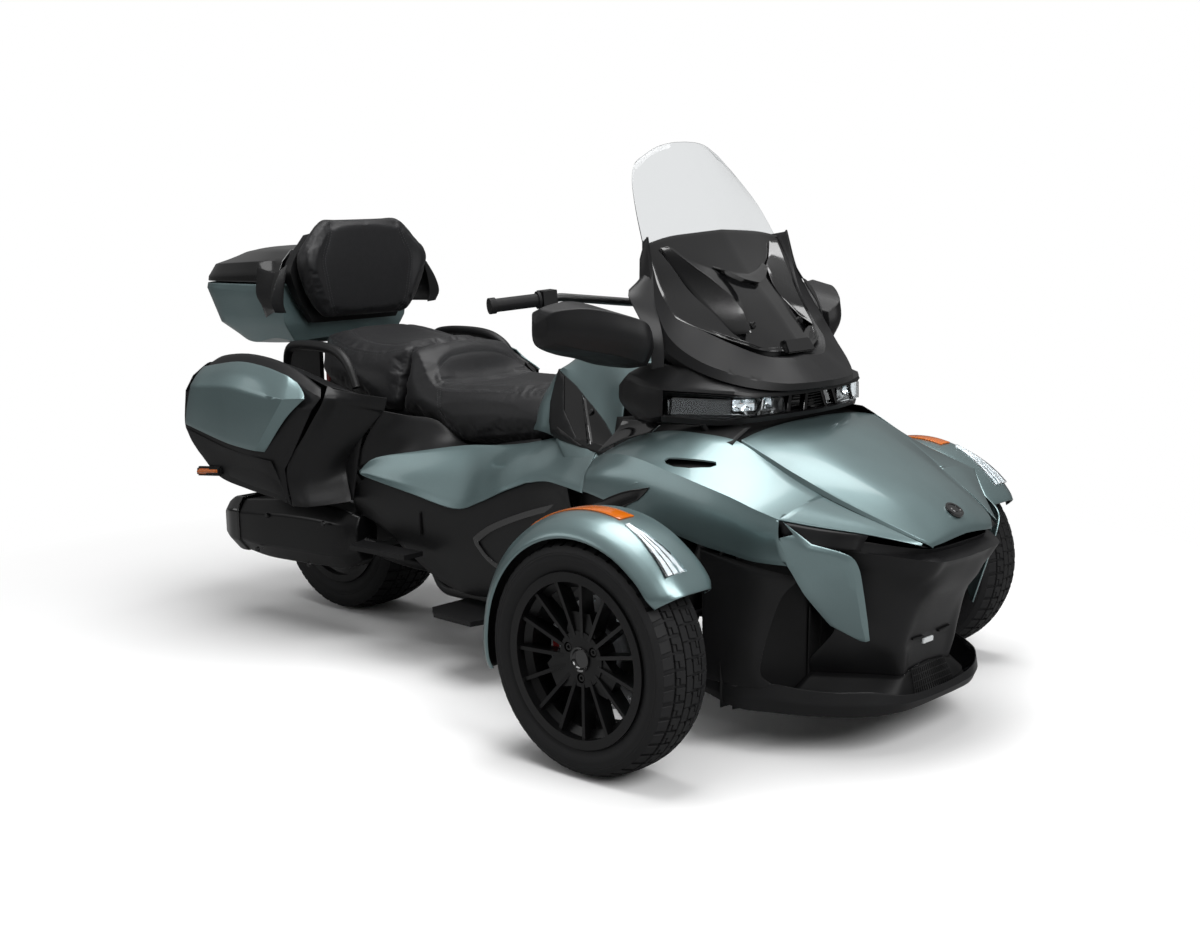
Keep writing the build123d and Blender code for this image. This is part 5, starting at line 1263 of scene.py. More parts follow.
# the case behind the passenger, with the wings of the backrest at its front corners
trunk = {
    "core": (-1120, 0, 1000),
    "lid": [
        [(-904, 0, 1080), (-904, 140, 1080), (-904, 262, 1080), (-1010, 266, 1080), (-1150, 266, 1080),
         (-1296, 254, 1080), (-1366, 160, 1080), (-1380, 0, 1080)],
        [(-904, 0, 1106), (-904, 140, 1106), (-904, 262, 1106), (-1010, 266, 1104), (-1150, 265, 1100),
         (-1296, 252, 1094), (-1364, 160, 1092), (-1378, 0, 1092)],
        [(-903, 0, 1150), (-903, 130, 1150), (-905, 240, 1148), (-1010, 256, 1146), (-1150, 252, 1140),
         (-1276, 236, 1134), (-1340, 150, 1130), (-1354, 0, 1130)],
        [(-905, 0, 1188), (-908, 110, 1186), (-920, 196, 1182), (-1010, 206, 1182), (-1140, 192, 1176),
         (-1230, 170, 1160), (-1276, 110, 1152), (-1284, 0, 1152)],
        [(-960, 0, 1196), (-965, 70, 1195), (-975, 130, 1192), (-1020, 136, 1192), (-1120, 128, 1186),
         (-1180, 110, 1176), (-1204, 70, 1170), (-1208, 0, 1170)],
        [(-1080, 0, 1190)] * 8,
    ],
    "shell": [
        [(-886, 0, 1074), (-890, 130, 1074), (-900, 264, 1074), (-1010, 267, 1074), (-1150, 266, 1074),
         (-1298, 254, 1074), (-1368, 160, 1074), (-1382, 0, 1074)],
        [(-886, 0, 1052), (-890, 130, 1052), (-900, 264, 1048), (-1010, 267, 1048), (-1150, 267, 1050),
         (-1302, 256, 1056), (-1372, 160, 1058), (-1386, 0, 1058)],
        [(-886, 0, 960), (-890, 120, 960), (-900, 246, 950), (-990, 252, 952), (-1120, 250, 946), (-1250, 244, 946),
         (-1310, 150, 946), (-1326, 0, 946)],
        [(-888, 0, 900), (-892, 110, 898), (-905, 206, 890), (-990, 220, 900), (-1101, 216, 882), (-1180, 200, 890),
         (-1220, 120, 890), (-1230, 0, 890)],
        [(-920, 0, 880), (-925, 70, 880), (-935, 130, 880), (-990, 136, 880), (-1060, 132, 876), (-1100, 120, 878),
         (-1120, 70, 878), (-1124, 0, 878)],
        [(-1010, 0, 876)] * 8,
    ],
    "wing": [
        [(-1004, 268, 1128), (-910, 272, 1112), (-838, 300, 1124), (-832, 276, 1138)],
        [(-1010, 269, 1086), (-912, 282, 1076), (-832, 330, 1074), (-828, 292, 1080)],
        [(-1014, 269, 1040), (-914, 284, 1036), (-830, 345, 1026), (-828, 300, 1020)],
        [(-985, 266, 1000), (-900, 276, 994), (-834, 330, 992), (-830, 290, 990)],
    ],
    "cheek": [
        [(-1012, 266, 1044), (-960, 268, 1040), (-906, 266, 1034)],
        [(-985, 256, 968), (-945, 258, 985), (-900, 258, 992)],
    ],
    "back": [
        [(-846, 0, 1236), (-846, 120, 1236), (-850, 176, 1230), (-870, 182, 1226)],
        [(-842, 0, 1130), (-842, 140, 1130), (-848, 250, 1128), (-878, 256, 1126)],
        [(-844, 0, 1040), (-844, 140, 1040), (-850, 226, 1040), (-878, 232, 1040)],
        [(-848, 0, 950), (-848, 120, 950), (-854, 170, 950), (-876, 176, 950)],
    ],
}


def buildTopCase():
    lidNet = spanRows(trunk["lid"], sharpRows=(1, 2, 3), sharpCols=(2,), steps=(4, 5))
    lid = mouldShell("topCaseLid", [lidNet], trunk["core"], "gloss_black", 3.0, edgeRound=2.0, body="topcase_lid")
    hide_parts("topcase_lid")
    shellNet = spanRows(trunk["shell"], sharpRows=(1, 2, 3), sharpCols=(2,), steps=(4, 5))
    shell = mouldShell("topCaseShell", [shellNet], (-1120, 0, 1060), "body_paint", 3.0, edgeRound=2.0)
    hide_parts("topcase_shell")
    wings = spanRows(trunk["wing"], sharpCols=(1, 2), steps=(4, 4))
    mouldShell("armrestWings", [wings], (-920, 0, 1070), "black_plastic", 3.0, edgeRound=1.6)
    cheeks = spanRows(trunk["cheek"], steps=(4, 4))
    mouldShell("caseCheeks", [cheeks], (-960, 0, 1010), "gloss_black", 2.0, edgeRound=0)
    net = spanRows(trunk["back"], sharpCols=(2,), steps=(5, 5))
    back = mouldShell("backrestFrame", [net], (-960, 0, 1090), "black_plastic", 16.0, edgeRound=3.0)
    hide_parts("backrest_shell")


# a round bar that follows a smooth line; the taper gives its share of the radius at each point
def sweptBar(name, points, radius, material, both=True, taper=None):
    curve = bpy.data.curves.new(name, "CURVE")
    curve.dimensions = "3D"
    curve.bevel_depth = radius * 0.001
    curve.bevel_resolution = 5
    curve.use_fill_caps = True
    for side in (1, -1) if both else (1,):
        line = curve.splines.new("NURBS")
        line.points.add(len(points) - 1)
        for i, (spot, (x, y, z)) in enumerate(zip(line.points, points)):
            spot.co = (x * 0.001, side * y * 0.001, z * 0.001, 1.0)
            spot.radius = taper[i] if taper else 1.0
        line.order_u = 4
        line.use_endpoint_u = True
        line.resolution_u = 8
    holder = bpy.data.objects.new(name, curve)
    bpy.context.scene.collection.objects.link(holder)
    mesh = bpy.data.meshes.new_from_object(holder)
    bpy.data.objects.remove(holder)
    bm = bmesh.new()
    bm.from_mesh(mesh)
    piece = toObject(bm, name, material, 40)
    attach(piece, "chassis")
    return piece


# each ring is x, y, z of its middle, its half width, and its height above and below the middle
muffler = {
    "core": (-760, -300, 310),
    "rings": [
        (-470, -300, 318, 40, 74, 60), (-520, -306, 318, 66, 92, 88), (-640, -312, 320, 74, 100, 96),
        (-790, -316, 318, 76, 98, 98),
        (-905, -320, 314, 74, 92, 94), (-1010, -324, 310, 66, 84, 80),
    ],
    "cap": [(-1000, -324, 312, 72, 92, 86), (-1040, -326, 312, 72, 90, 84), (-1088, -328, 314, 54, 66, 60)],
    "bolts": [(-560, -396, 372), (-840, -398, 366), (-640, -396, 236), (-900, -398, 250)],
    "pipe": [(-130, -110, 226), (-250, -110, 226), (-330, -230, 246), (-400, -288, 290), (-490, -304, 310)],
    "pipeRadius": 22,
}


# an eight-cornered closed ring round a centre; the outer corners are cut flat like a pressed shield
def shieldRing(x, y, z, half, up, down):
    corners = [(-1.0, 0.55), (-0.62, 1.0), (0.62, 1.0), (1.0, 0.5), (1.0, -0.4), (0.5, -1.0), (-0.5, -1.0),
               (-1.0, -0.5)]
    return [(x, y + u * half, z + (v * up if v > 0 else v * down)) for u, v in corners]


def buildMuffler():
    for name, key, material in (("mufflerShield", "rings", "muffler_metal"), ("mufflerCap", "cap", "gloss_black")):
        rings = [shieldRing(*ring) for ring in muffler[key]]
        rings = [ring + ring[:1] for ring in rings]
        first, last = muffler[key][0], muffler[key][-1]
        start = [(first[0] + 2, first[1], first[2])] * 9
        end = [(last[0] + (14 if key == "cap" else -2), last[1], last[2])] * 9
        net = spanRows([start, *rings, end], sharpRows=(1, len(rings)), sharpCols=range(1, 8), steps=(4, 2))
        bm = bmesh.new()
        addNet(bm, net, muffler["core"])
        piece = toObject(bm, name, material, 30)
        roundEdges(piece, 5.0, 3, 25)
        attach(piece, "chassis")
    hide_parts("exhaust")
    bm = bmesh.new()
    bmesh.ops.create_cone(bm, cap_ends=True, segments=14, radius1=0.009, radius2=0.007, depth=0.006)
    places = [metres(spot) for spot in muffler["bolts"]]
    outwards = [(math.radians(90), 0, 0)] * len(places)
    atPoints(bm, places, outwards, (1, 1, 1), "shieldBolts", "frame_steel", 28)
    sweptBar("exhaustPipe", muffler["pipe"], muffler["pipeRadius"], "muffler_metal", both=False)


# the rail beside the passenger's seat, which thins out towards its ends
handle = {
    "radius": 14,
    "line": [
        (-838, 292, 812), (-826, 300, 880), (-780, 304, 896), (-680, 310, 898), (-580, 316, 894), (-516, 322, 874),
        (-478, 328, 838), (-452, 331, 784),
    ],
    "taper": [0.8, 1.0, 1.1, 1.15, 1.15, 1.1, 1.0, 0.9],
}


def buildHandles():
    grip = sweptBar("passengerHandles", handle["line"], handle["radius"], "black_plastic", taper=handle["taper"])
    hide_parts("grab_handles")


finishes["ribbed_plastic"] = mouldedPlastic("ribbedPolypropylene", "#151516", "#1c1c1d", 0.48, 5.0, 0.5)
finishes["amber_lens"] = glossPlastic("amberAcrylic", "#c9650a", 0.12)
buildCases()
buildTopCase()
buildMuffler()
buildHandles()
print("luggage and muffler ready")


# turns a piece into a ring of copies of itself round a Y axle
def ringTree():
    tree, given = newTree("ringOfCopies", {"Count": "Int", "Axle": "Vector"})
    line = addNode(
        tree, "GeometryNodeMeshLine", {"mode": "OFFSET"}, Count=given["Count"], Start_Location=given["Axle"],
        Offset=(0, 0, 0),
    )
    order = addNode(tree, "GeometryNodeInputIndex")
    share = addNode(tree, "ShaderNodeMath", {"operation": "DIVIDE"}, i0=order.outputs[0], i1=given["Count"])
    angle = addNode(tree, "ShaderNodeMath", {"operation": "MULTIPLY"}, i0=share.outputs[0], i1=2 * math.pi)
    spin = addNode(tree, "ShaderNodeCombineXYZ", Y=angle.outputs[0])
    copies = addNode(
        tree, "GeometryNodeInstanceOnPoints", Points=line.outputs[0], Instance=given["Geometry"],
        Rotation=spin.outputs[0],
    )
    return closeTree(tree, given, copies.outputs[0])


ringOfCopies = ringTree()


def ringCopies(segment, count, axle, material, body):
    runTree(segment, ringOfCopies, {"Count": count, "Axle": metres(axle), "Finish": finishes[material]})
    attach(segment, body)


# closed rings about a Y axle from (y, radius) pairs
def turnRings(bm, profile, axle, turns=96, closed=True):
    x0, y0, z0 = axle
    points = list(profile) + (profile[:1] if closed else [])
    net = []
    for k in range(turns):
        a = 2 * math.pi * k / turns
        net.append([metres((x0 + r * math.cos(a), y0 + y, z0 + r * math.sin(a))) for y, r in points])
    grid = [[bm.verts.new(p) for p in row] for row in net]
    grid.append(grid[0])
    for near, far in zip(grid, grid[1:]):
        for j in range(len(points) - 1):
            bm.faces.new((near[j], near[j + 1], far[j + 1], far[j]))
    bmesh.ops.remove_doubles(bm, verts=bm.verts, dist=1e-6)
    bmesh.ops.recalc_face_normals(bm, faces=bm.faces)


# tread blocks as (across, along) corners; across runs to 1 at the shoulder, along is a share of one pitch
tread = {
    "depth": 5.5,
    "chamfer": 1.1,
    "blocks": [
        [(0.66, 0.06), (1.02, 0.14), (1.02, 0.86), (0.66, 0.78)],
        [(0.20, 0.10), (0.58, 0.02), (0.58, 0.40), (0.42, 0.43), (0.42, 0.84), (0.20, 0.90)],
        [(0.47, 0.50), (0.58, 0.47), (0.58, 0.88), (0.47, 0.86)],
        [(-0.14, 0.03), (0.14, 0.03), (0.14, 0.72), (0.06, 0.97), (-0.14, 0.97)],
    ],
}
frontWheel = (842, 693, 281)
frontTyre = {"axle": frontWheel, "radius": 280.6, "half": 82.5, "pitches": 46}
tyres = {
    "front_tyre_left": frontTyre | {"body": "front_wheel_left"},
    "front_tyre_right": frontTyre | {"axle": (842, -693, 281), "body": "front_wheel_right"},
    "rear_tyre": {"axle": (-872, 0, 303), "radius": 302.6, "half": 112.5, "pitches": 44, "body": "rear_wheel"},
}
crown = {"drop": 11.5, "shoulder": 14, "power": 2.6}  # how far and how fast the tread falls towards its shoulders


def crownRadius(tyre, y):
    return tyre["radius"] - crown["drop"] * (abs(y) / (tyre["half"] - crown["shoulder"])) ** crown["power"]


# (y, radius) pairs round the section: one side wall with its ribs, the tread's base, the other wall, the inside
def tyreProfile(tyre):
    half, radius = tyre["half"], tyre["radius"]
    side = [
        (half - 24, 191.2), (half - 12, 191.2), (half - 10.5, 194), (half - 10.5, 208), (half - 7.5, 212),
        (half - 6.5, 218),
        (half - 2.6, 224), (half - 2.2, 228), (half - 0.4, 232), (half - 0.2, 240), (half - 1.4, 246),
        (half - 0.8, 248),
        (half - 1.8, 251), (half - 1.2, 253), (half - 4.0, radius - 22), (half - 9.0, radius - 15),
    ]
    outer = [(half * k, crownRadius(tyre, half * k) - tread["depth"]) for k in (0.82, 0.6, 0.3, 0, -0.3, -0.6, -0.82)]
    right = [(-y, r) for y, r in reversed(side)]
    inner = [(-half + 16, 205), (-half + 14, 240), (-half + 30, radius - 24), (0, radius - 14)]
    return side + outer + right + inner + [(-y, r) for y, r in reversed(inner[:-1])]


# one pitch of the tread, with the inner three block rows turned half a pitch on for the other side
def treadSegment(tyre):
    bm = bmesh.new()
    reach = tyre["half"] - 10
    pitch = 2 * math.pi / tyre["pitches"]
    blocks = list(tread["blocks"])
    blocks += [[(-u, 1.5 - t) for u, t in block] for block in tread["blocks"][:3]]
    for block in blocks:
        middle = (sum(u for u, t in block) / len(block), sum(t for u, t in block) / len(block))
        rings = []
        for sink, inset in ((tread["depth"] + 1.5, 0.0), (tread["chamfer"], 0.0), (0.0, tread["chamfer"])):
            ring = []
            for u, t in block:
                across = u * reach
                toMiddle = (middle[0] - u) * reach
                across += math.copysign(min(inset, abs(toMiddle)), toMiddle)
                radius = crownRadius(tyre, across) - sink
                along = t * pitch + math.copysign(inset / radius, middle[1] - t)
                ring.append(bm.verts.new(metres((radius * math.cos(along), across, radius * math.sin(along)))))
            rings.append(ring)
        count = len(block)
        for low, high in zip(rings, rings[1:]):
            for i in range(count):
                k = (i + 1) % count
                bm.faces.new((low[i], low[k], high[k], high[i]))
        bm.faces.new(rings[-1])
    bmesh.ops.recalc_face_normals(bm, faces=bm.faces)
    bm.normal_update()
    outward = sum(f.calc_center_median().dot(f.normal) for f in bm.faces if len(f.verts) > 4 or f.normal.x > 0.9)
    if outward < 0:
        bmesh.ops.reverse_faces(bm, faces=bm.faces)
    return bm


def buildTyres():
    for node, tyre in tyres.items():
        bm = bmesh.new()
        turnRings(bm, tyreProfile(tyre), tyre["axle"], 120)
        carcass = toObject(bm, node + "Carcass", "tyre_rubber", 35)
        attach(carcass, tyre["body"])
        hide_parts(node)
        segment = toObject(treadSegment(tyre), node + "Tread", "tyre_rubber", 30)
        ringCopies(segment, tyre["pitches"], tyre["axle"], "tyre_rubber", tyre["body"])


# lug bolts with a socket head, and the plain cap that closes the hub
hubParts = {
    "bolts": 3,
    "circle": 45.0,
    "boltFace": 42.5,  # the faces are measured outwards from the wheel's middle
    "bolt": [(0, 0.0), (0, 7.0), (-7, 7.6), (-7, 9.5), (10, 9.5), (12, 8.4), (12, 4.6), (8, 4.2), (8, 0.0)],
    "capFace": 56.5,
    "cap": [(-4, 0.0), (-4, 21.0), (-2, 23.0), (2, 25.0), (4, 29.0), (0, 30.0), (-10, 30.0), (-14, 24.0), (-14, 0.0)],
}


def buildHubParts():
    for side, body in ((1, "front_wheel_left"), (-1, "front_wheel_right")):
        tag = "Left" if side == 1 else "Right"
        axle = (frontWheel[0], side * frontWheel[1], frontWheel[2])
        bm = bmesh.new()
        profile = [(side * (hubParts["boltFace"] + y), r) for y, r in hubParts["bolt"]]
        turnRings(bm, profile, (0, 0, 0), 14, closed=False)
        bmesh.ops.translate(bm, vec=metres((0, 0, -hubParts["circle"])), verts=bm.verts)
        bolt = toObject(bm, "lugBolts" + tag, "frame_steel", 35)
        ringCopies(bolt, hubParts["bolts"], axle, "frame_steel", body)
        bm = bmesh.new()
        profile = [(side * (hubParts["capFace"] + y), r) for y, r in hubParts["cap"]]
        turnRings(bm, profile, axle, 48, closed=False)
        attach(toObject(bm, "hubCap" + tag, "gloss_black", 35), body)


caliper = {
    "outline": [
        (694, 250), (700, 238), (728, 226), (752, 232), (756, 262), (756, 300), (752, 330), (728, 342), (700, 330),
        (694, 316),
    ],
    "band": [(704, 252), (724, 246), (726, 322), (704, 314)],
}


# pale caliper cover with a plain red band; it stands on the outer half of the caliper
def buildCalipers():
    for side, body in ((1, "knuckle_left"), (-1, "knuckle_right")):
        tag = "Left" if side == 1 else "Right"
        for name, outline, near, far, material, soften in (
            ("caliperCover", caliper["outline"], 698, 680, "caliper_silver", 4.0),
            ("caliperBand", caliper["band"], 699.2, 696, "caliper_red", 0.8),
        ):
            bm = bmesh.new()
            rings = [[bm.verts.new(metres((x, side * y, z))) for x, z in outline] for y in (near, far)]
            bm.faces.new(rings[0])
            bm.faces.new(list(reversed(rings[1])))
            count = len(outline)
            for i in range(count):
                k = (i + 1) % count
                bm.faces.new((rings[0][i], rings[1][i], rings[1][k], rings[0][k]))
            bmesh.ops.recalc_face_normals(bm, faces=bm.faces)
            blockPiece(bm, name + tag, material, soften, 3, body, 30)


# the fenders: (y, radius) pairs across one, and the angles of its rows round the wheel, the front ones first
fender = {
    "middle": 690,
    "profile": [
        (594, 302), (592, 316), (600, 331), (620, 338), (655, 340), (700, 339.5), (722, 336), (742, 328), (762, 311),
        (775, 292), (773, 284),
    ],
    "angles": [33, 38, 48, 64, 80, 96, 112, 128, 144, 160, 176, 188, 194],
    "narrowed": (0.86, 0.9),
    "linerNarrowed": (0.84, 0.88),
    "linerGap": 5,
    "marker": {"from": (655, 75), "to": (704, 131), "rows": 9, "radii": (343.4, 344.2, 343.0), "lean": 4.0},
}
# the lamp on the fender's front slope widens as it runs down; across it, -1 and 1 are its edges
signal = {
    "angles": [71, 63, 55, 48, 42],
    "middle": 702,
    "half": 9,
    "baseHalf": 8,
    "widening": 0.9,
    "lens": ((-1, 342.0), (0, 345.5), (1, 341.0)),
    "base": ((-1, 339.4), (0, 339.8), (1, 338.6)),
    "ribs": [-0.84, -0.24, 0.36],
    "ribWidth": 0.48,
    "ribHalf": 8,
    "ribWidening": 0.88,
}


# a point given by its angle round the front wheel, its radius from the axle and its y
def roundWheel(angle, radius, y):
    turn = math.radians(angle)
    return (frontWheel[0] + radius * math.cos(turn), y, frontWheel[2] + radius * math.sin(turn))


def fenderRows(profile, ends):
    rows = []
    middle, last = fender["middle"], len(fender["angles"]) - 1
    for i, angle in enumerate(fender["angles"]):
        share = {0: ends[0], last: ends[1]}.get(i, 1.0)
        rows.append([roundWheel(angle, r, middle + (y - middle) * share) for y, r in profile])
    return rows


def markerRows():
    marker = fender["marker"]
    (y0, a0), (y1, a1) = marker["from"], marker["to"]
    rows = []
    for k in range(marker["rows"]):
        angle = a0 + (a1 - a0) * k / (marker["rows"] - 1)
        lean = marker["lean"] if k == marker["rows"] - 1 else 0.0
        ys = (y0 + lean, 681, y1 - 3 * lean)
        rows.append([roundWheel(angle, r, y) for y, r in zip(ys, marker["radii"])])
    return rows


# rows across the lamp; each section is a share of its half width and a radius
def signalRows(section, half, widening):
    rows = []
    for angle in signal["angles"]:
        reach = half + (signal["angles"][0] - angle) * widening
        rows.append([roundWheel(angle, r, signal["middle"] + u * reach) for u, r in section])
    return rows


def buildFenders():
    for side, body in ((1, "knuckle_left"), (-1, "knuckle_right")):
        tag = "Left" if side == 1 else "Right"
        core = (frontWheel[0], side * fender["middle"], frontWheel[2])
        skin = spanRows(onSide(fenderRows(fender["profile"], fender["narrowed"]), side), sharpCols=(7,), steps=(4, 3))
        piece = mouldShell("fenderSkin" + tag, [skin], core, "body_paint", both=False, body=body)
        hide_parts("front_fender_left" if side == 1 else "front_fender_right")
        # the black liner inside the fender is made darker still: painted shade under the fender
        inner = [(y + (2 if y < fender["middle"] else -3), r - fender["linerGap"]) for y, r in fender["profile"][1:-1]]
        liner = spanRows(onSide(fenderRows(inner, fender["linerNarrowed"]), side), steps=(3, 2))
        mouldShell("fenderLiner" + tag, [liner], core, "recess_shade_black", 1.5, both=False, edgeRound=0, body=body)
        marker = spanRows(onSide(markerRows(), side), steps=(3, 3))
        mouldShell("fenderMarker" + tag, [marker], core, "amber_lens", 4.0, both=False, edgeRound=0.8, body=body)
        lens = spanRows(onSide(signalRows(signal["lens"], signal["half"], signal["widening"]), side), steps=(4, 4))
        cover = mouldShell("signalLens" + tag, [lens], core, "lamp_lens", 1.5, both=False, edgeRound=0.5, body=body)
        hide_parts("fender_lamp_left" if side == 1 else "fender_lamp_right")
        base = spanRows(onSide(signalRows(signal["base"], signal["baseHalf"], signal["widening"]), side), steps=(4, 4))
        mouldShell("signalBase" + tag, [base], core, "gloss_black", 1.5, both=False, edgeRound=0, body=body)
        bm = bmesh.new()
        for start in signal["ribs"]:
            end = start + signal["ribWidth"]
            section = ((start, 340.0), ((start + end) / 2, 342.4), (end, 340.0))
            rows = onSide(signalRows(section, signal["ribHalf"], signal["ribWidening"]), side)
            addNet(bm, [[metres(p) for p in row] for row in rows], core)
        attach(toObject(bm, "signalRibs" + tag, "marker_white", 40), body)


finishes["caliper_silver"] = workedMetal("anodisedAluminium", "#b9bcbe", 0.34, 0.6)
finishes["caliper_red"] = glossPlastic("redEnamel", "#8e1414", 0.2)
buildTyres()
buildHubParts()
buildCalipers()
buildFenders()
print("wheels and fenders ready")


# cushions are closed rings; each entry is the edge half width, the middle height, the edge height, then the two
# points down the side wall and the foot
seats = {
    "rider_seat": [
        (216, (92, 800, 794), (140, 748), (166, 700), 684),
        (196, (112, 806, 800), (156, 746), (180, 694), 676),
        (150, (132, 800, 804), (170, 740), (190, 684), 666),
        (70, (156, 782, 800), (184, 730), (200, 668), 652),
        (-20, (176, 770, 796), (198, 720), (206, 652), 640),
        (-100, (192, 766, 792), (208, 712), (212, 644), 634),
        (-170, (204, 768, 790), (217, 710), (220, 660), 640),
        (-232, (210, 776, 794), (224, 730), (226, 700), 664),
        (-276, (206, 806, 818), (222, 752), (226, 706), 676),
        (-310, (194, 862, 858), (214, 776), (222, 712), 684),
        (-346, (182, 902, 890), (208, 790), (218, 716), 690),
        (-386, (172, 906, 892), (202, 796), (214, 720), 700),
    ],
    "passenger_seat": [
        (-406, (160, 904, 894), (196, 816), (214, 742), 706),
        (-424, (172, 906, 896), (208, 812), (226, 730), 704),
        (-480, (192, 898, 888), (220, 806), (234, 732), 710),
        (-560, (206, 896, 888), (226, 816), (234, 752), 724),
        (-640, (208, 904, 898), (224, 832), (230, 774), 742),
        (-710, (200, 920, 912), (216, 852), (224, 796), 760),
        (-758, (186, 932, 922), (204, 868), (212, 812), 778),
        (-778, (170, 930, 920), (190, 872), (200, 820), 786),
    ],
}
# the backrest pad: height, front, front of the side wings, inner and outer half width, thickness
pad = [
    (962, -796, -794, 128, 150, 26), (974, -789, -786, 150, 176, 36), (1010, -785, -778, 176, 206, 48),
    (1070, -783, -770, 196, 234, 56),
    (1130, -783, -764, 208, 248, 60), (1170, -785, -766, 202, 244, 58), (1210, -788, -776, 180, 216, 52),
    (1250, -792, -786, 156, 184, 44),
    (1270, -798, -794, 136, 160, 34), (1278, -806, -804, 120, 146, 20),
]


def seatRing(x, edge, wall, foot, low):
    half, middle, top = edge
    return [
        (x, 0, middle), (x, half * 0.5, middle + (top - middle) * 0.25), (x, half * 0.86, top + 1), (x, half, top - 6),
        (x, wall[0], wall[1]), (x, foot[0], foot[1]), (x, foot[0] - 26, low), (x, foot[0] * 0.5, low - 2),
        (x, 0, low - 2),
    ]


def padRing(z, front, wing, inner, half, thick):
    back = front - thick
    return [
        (front, 0, z), (front + 1, inner * 0.5, z), (front + 1, inner * 0.88, z), (wing, (inner + half) / 2, z),
        (wing - 4, half - 6, z),
        ((wing + back) / 2, half, z), (back, half * 0.93, z), (back - 2, half * 0.5, z), (back - 2, 0, z),
    ]


# the whole ring from its left half
def mirrorRing(half):
    return half + [(x, -y, z) for x, y, z in reversed(half[1:-1])]


# a closed bag over the rings, with a pole at either end
def closedSkin(name, rings):
    rings = [[metres(p) for p in ring] for ring in rings]
    lines = [smoothRun([ring[j] for ring in rings], steps=4) for j in range(len(rings[0]))]
    bm = bmesh.new()
    grid = [[bm.verts.new(p) for p in row] for row in zip(*lines)]
    for near, far in zip(grid, grid[1:]):
        for i in range(len(near)):
            k = (i + 1) % len(near)
            bm.faces.new((near[i], near[k], far[k], far[i]))
    for end in (grid[0], grid[-1]):
        middle = bm.verts.new(sum((v.co for v in end), Vector()) / len(end))
        for i in range(len(end)):
            bm.faces.new((end[i], end[(i + 1) % len(end)], middle))
    bmesh.ops.recalc_face_normals(bm, faces=bm.faces)
    return newPiece(bm, name)


# the covers are blown up as cloth over their padding; seams hold the skin down where they run
upholstery = {
    "voxel": 0.0065,
    "pressure": 3.0,
    "frames": 14,
    "mass": 0.3,
    "stretch": 25,
    "bend": 1.5,
    "seamWidth": 0.0055,
    "seamReach": 0.02,
    "seamReachShare": 0.35,
}


def blowUp(piece):
    cloth = piece.modifiers.new("cover", "CLOTH")
    cloth.settings.use_pressure = True
    cloth.settings.uniform_pressure_force = upholstery["pressure"]
    cloth.settings.quality = 4
    cloth.settings.mass = upholstery["mass"]
    cloth.settings.tension_stiffness = upholstery["stretch"]
    cloth.settings.compression_stiffness = upholstery["stretch"]
    cloth.settings.bending_stiffness = upholstery["bend"]
    cloth.settings.effector_weights.gravity = 0
    cloth.point_cache.frame_start = 1
    cloth.point_cache.frame_end = upholstery["frames"]
    for step in range(1, upholstery["frames"] + 1):
        bpy.context.scene.frame_set(step)
    applied(piece)
    bpy.context.scene.frame_set(1)


# limit is how far the cover may swell, depth how deep its seams lie, both in metres
def stuffed(piece, limit, seams, depth):
    skin = piece.modifiers.new("skin", "REMESH")
    skin.mode = "VOXEL"
    skin.voxel_size = upholstery["voxel"]
    applied(piece)
    rest = [v.co.copy() for v in piece.data.vertices]
    blowUp(piece)
    for v, start in zip(piece.data.vertices, rest):
        move = v.co - start
        if move.length > limit:
            v.co = start + move * (limit / move.length)
    normals = [v.normal.copy() for v in piece.data.vertices]
    for v, normal in zip(piece.data.vertices, normals):
        sink = 0.0
        for seam in seams:
            gap = distanceTo(v.co, seam)
            groove = depth * math.exp(-((gap / upholstery["seamWidth"]) ** 2))
            dip = depth * upholstery["seamReachShare"] * math.exp(-((gap / upholstery["seamReach"]) ** 2))
            sink = max(sink, groove + dip)
        v.co -= normal * sink
    smooth = piece.modifiers.new("round", "SUBSURF")
    smooth.levels = smooth.render_levels = 1
    for face in piece.data.polygons:
        face.use_smooth = True


def distanceTo(point, line):
    best = math.inf
    for a, b in zip(line, line[1:]):
        along = b - a
        t = max(0.0, min(1.0, (point - a).dot(along) / along.length_squared))
        best = min(best, (point - a - along * t).length)
    return best


# where the covers are sewn, on their left half
seamLines = {
    "rider_seat": [
        [(206, 96, 800), (150, 134, 806), (70, 158, 802), (-20, 178, 798), (-100, 194, 794), (-170, 206, 792),
         (-226, 212, 792)],
        [(-226, 212, 792), (-262, 190, 806), (-290, 150, 836), (-306, 90, 862), (-310, 0, 868)],
        [(-226, 214, 790), (-200, 222, 720), (-160, 220, 664), (-130, 214, 640)],
    ],
    "passenger_seat": [
        [(-410, 130, 906), (-480, 150, 900), (-580, 156, 898), (-680, 140, 914), (-740, 110, 930)],
        [(-424, 176, 894), (-500, 200, 884), (-580, 210, 884), (-660, 208, 894), (-740, 192, 914)],
    ],
    "backrest_pad": [
        [(-786, 120, 966), (-784, 150, 1010), (-782, 168, 1090), (-782, 176, 1150), (-786, 150, 1210),
         (-792, 128, 1272)],
    ],
}


def bothSides(lines):
    out = []
    for line in lines:
        out.append([metres(p) for p in line])
        out.append([metres((x, -y, z)) for x, y, z in line])
    return out


def buildCover(node, name, rings, limit, depth):
    piece = closedSkin(name, rings)
    stuffed(piece, limit, bothSides(seamLines[node]), depth)
    piece.data.materials.clear()
    piece.data.materials.append(finishes["seat_leather"])
    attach(piece, "chassis")
    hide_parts(node)


def buildSeats():
    for node, rows in seats.items():
        buildCover(node, node + "Cover", [mirrorRing(seatRing(*row)) for row in rows], 0.010, 0.0035)
    buildCover("backrest_pad", "backrestCover", [mirrorRing(padRing(*row)) for row in pad], 0.007, 0.003)


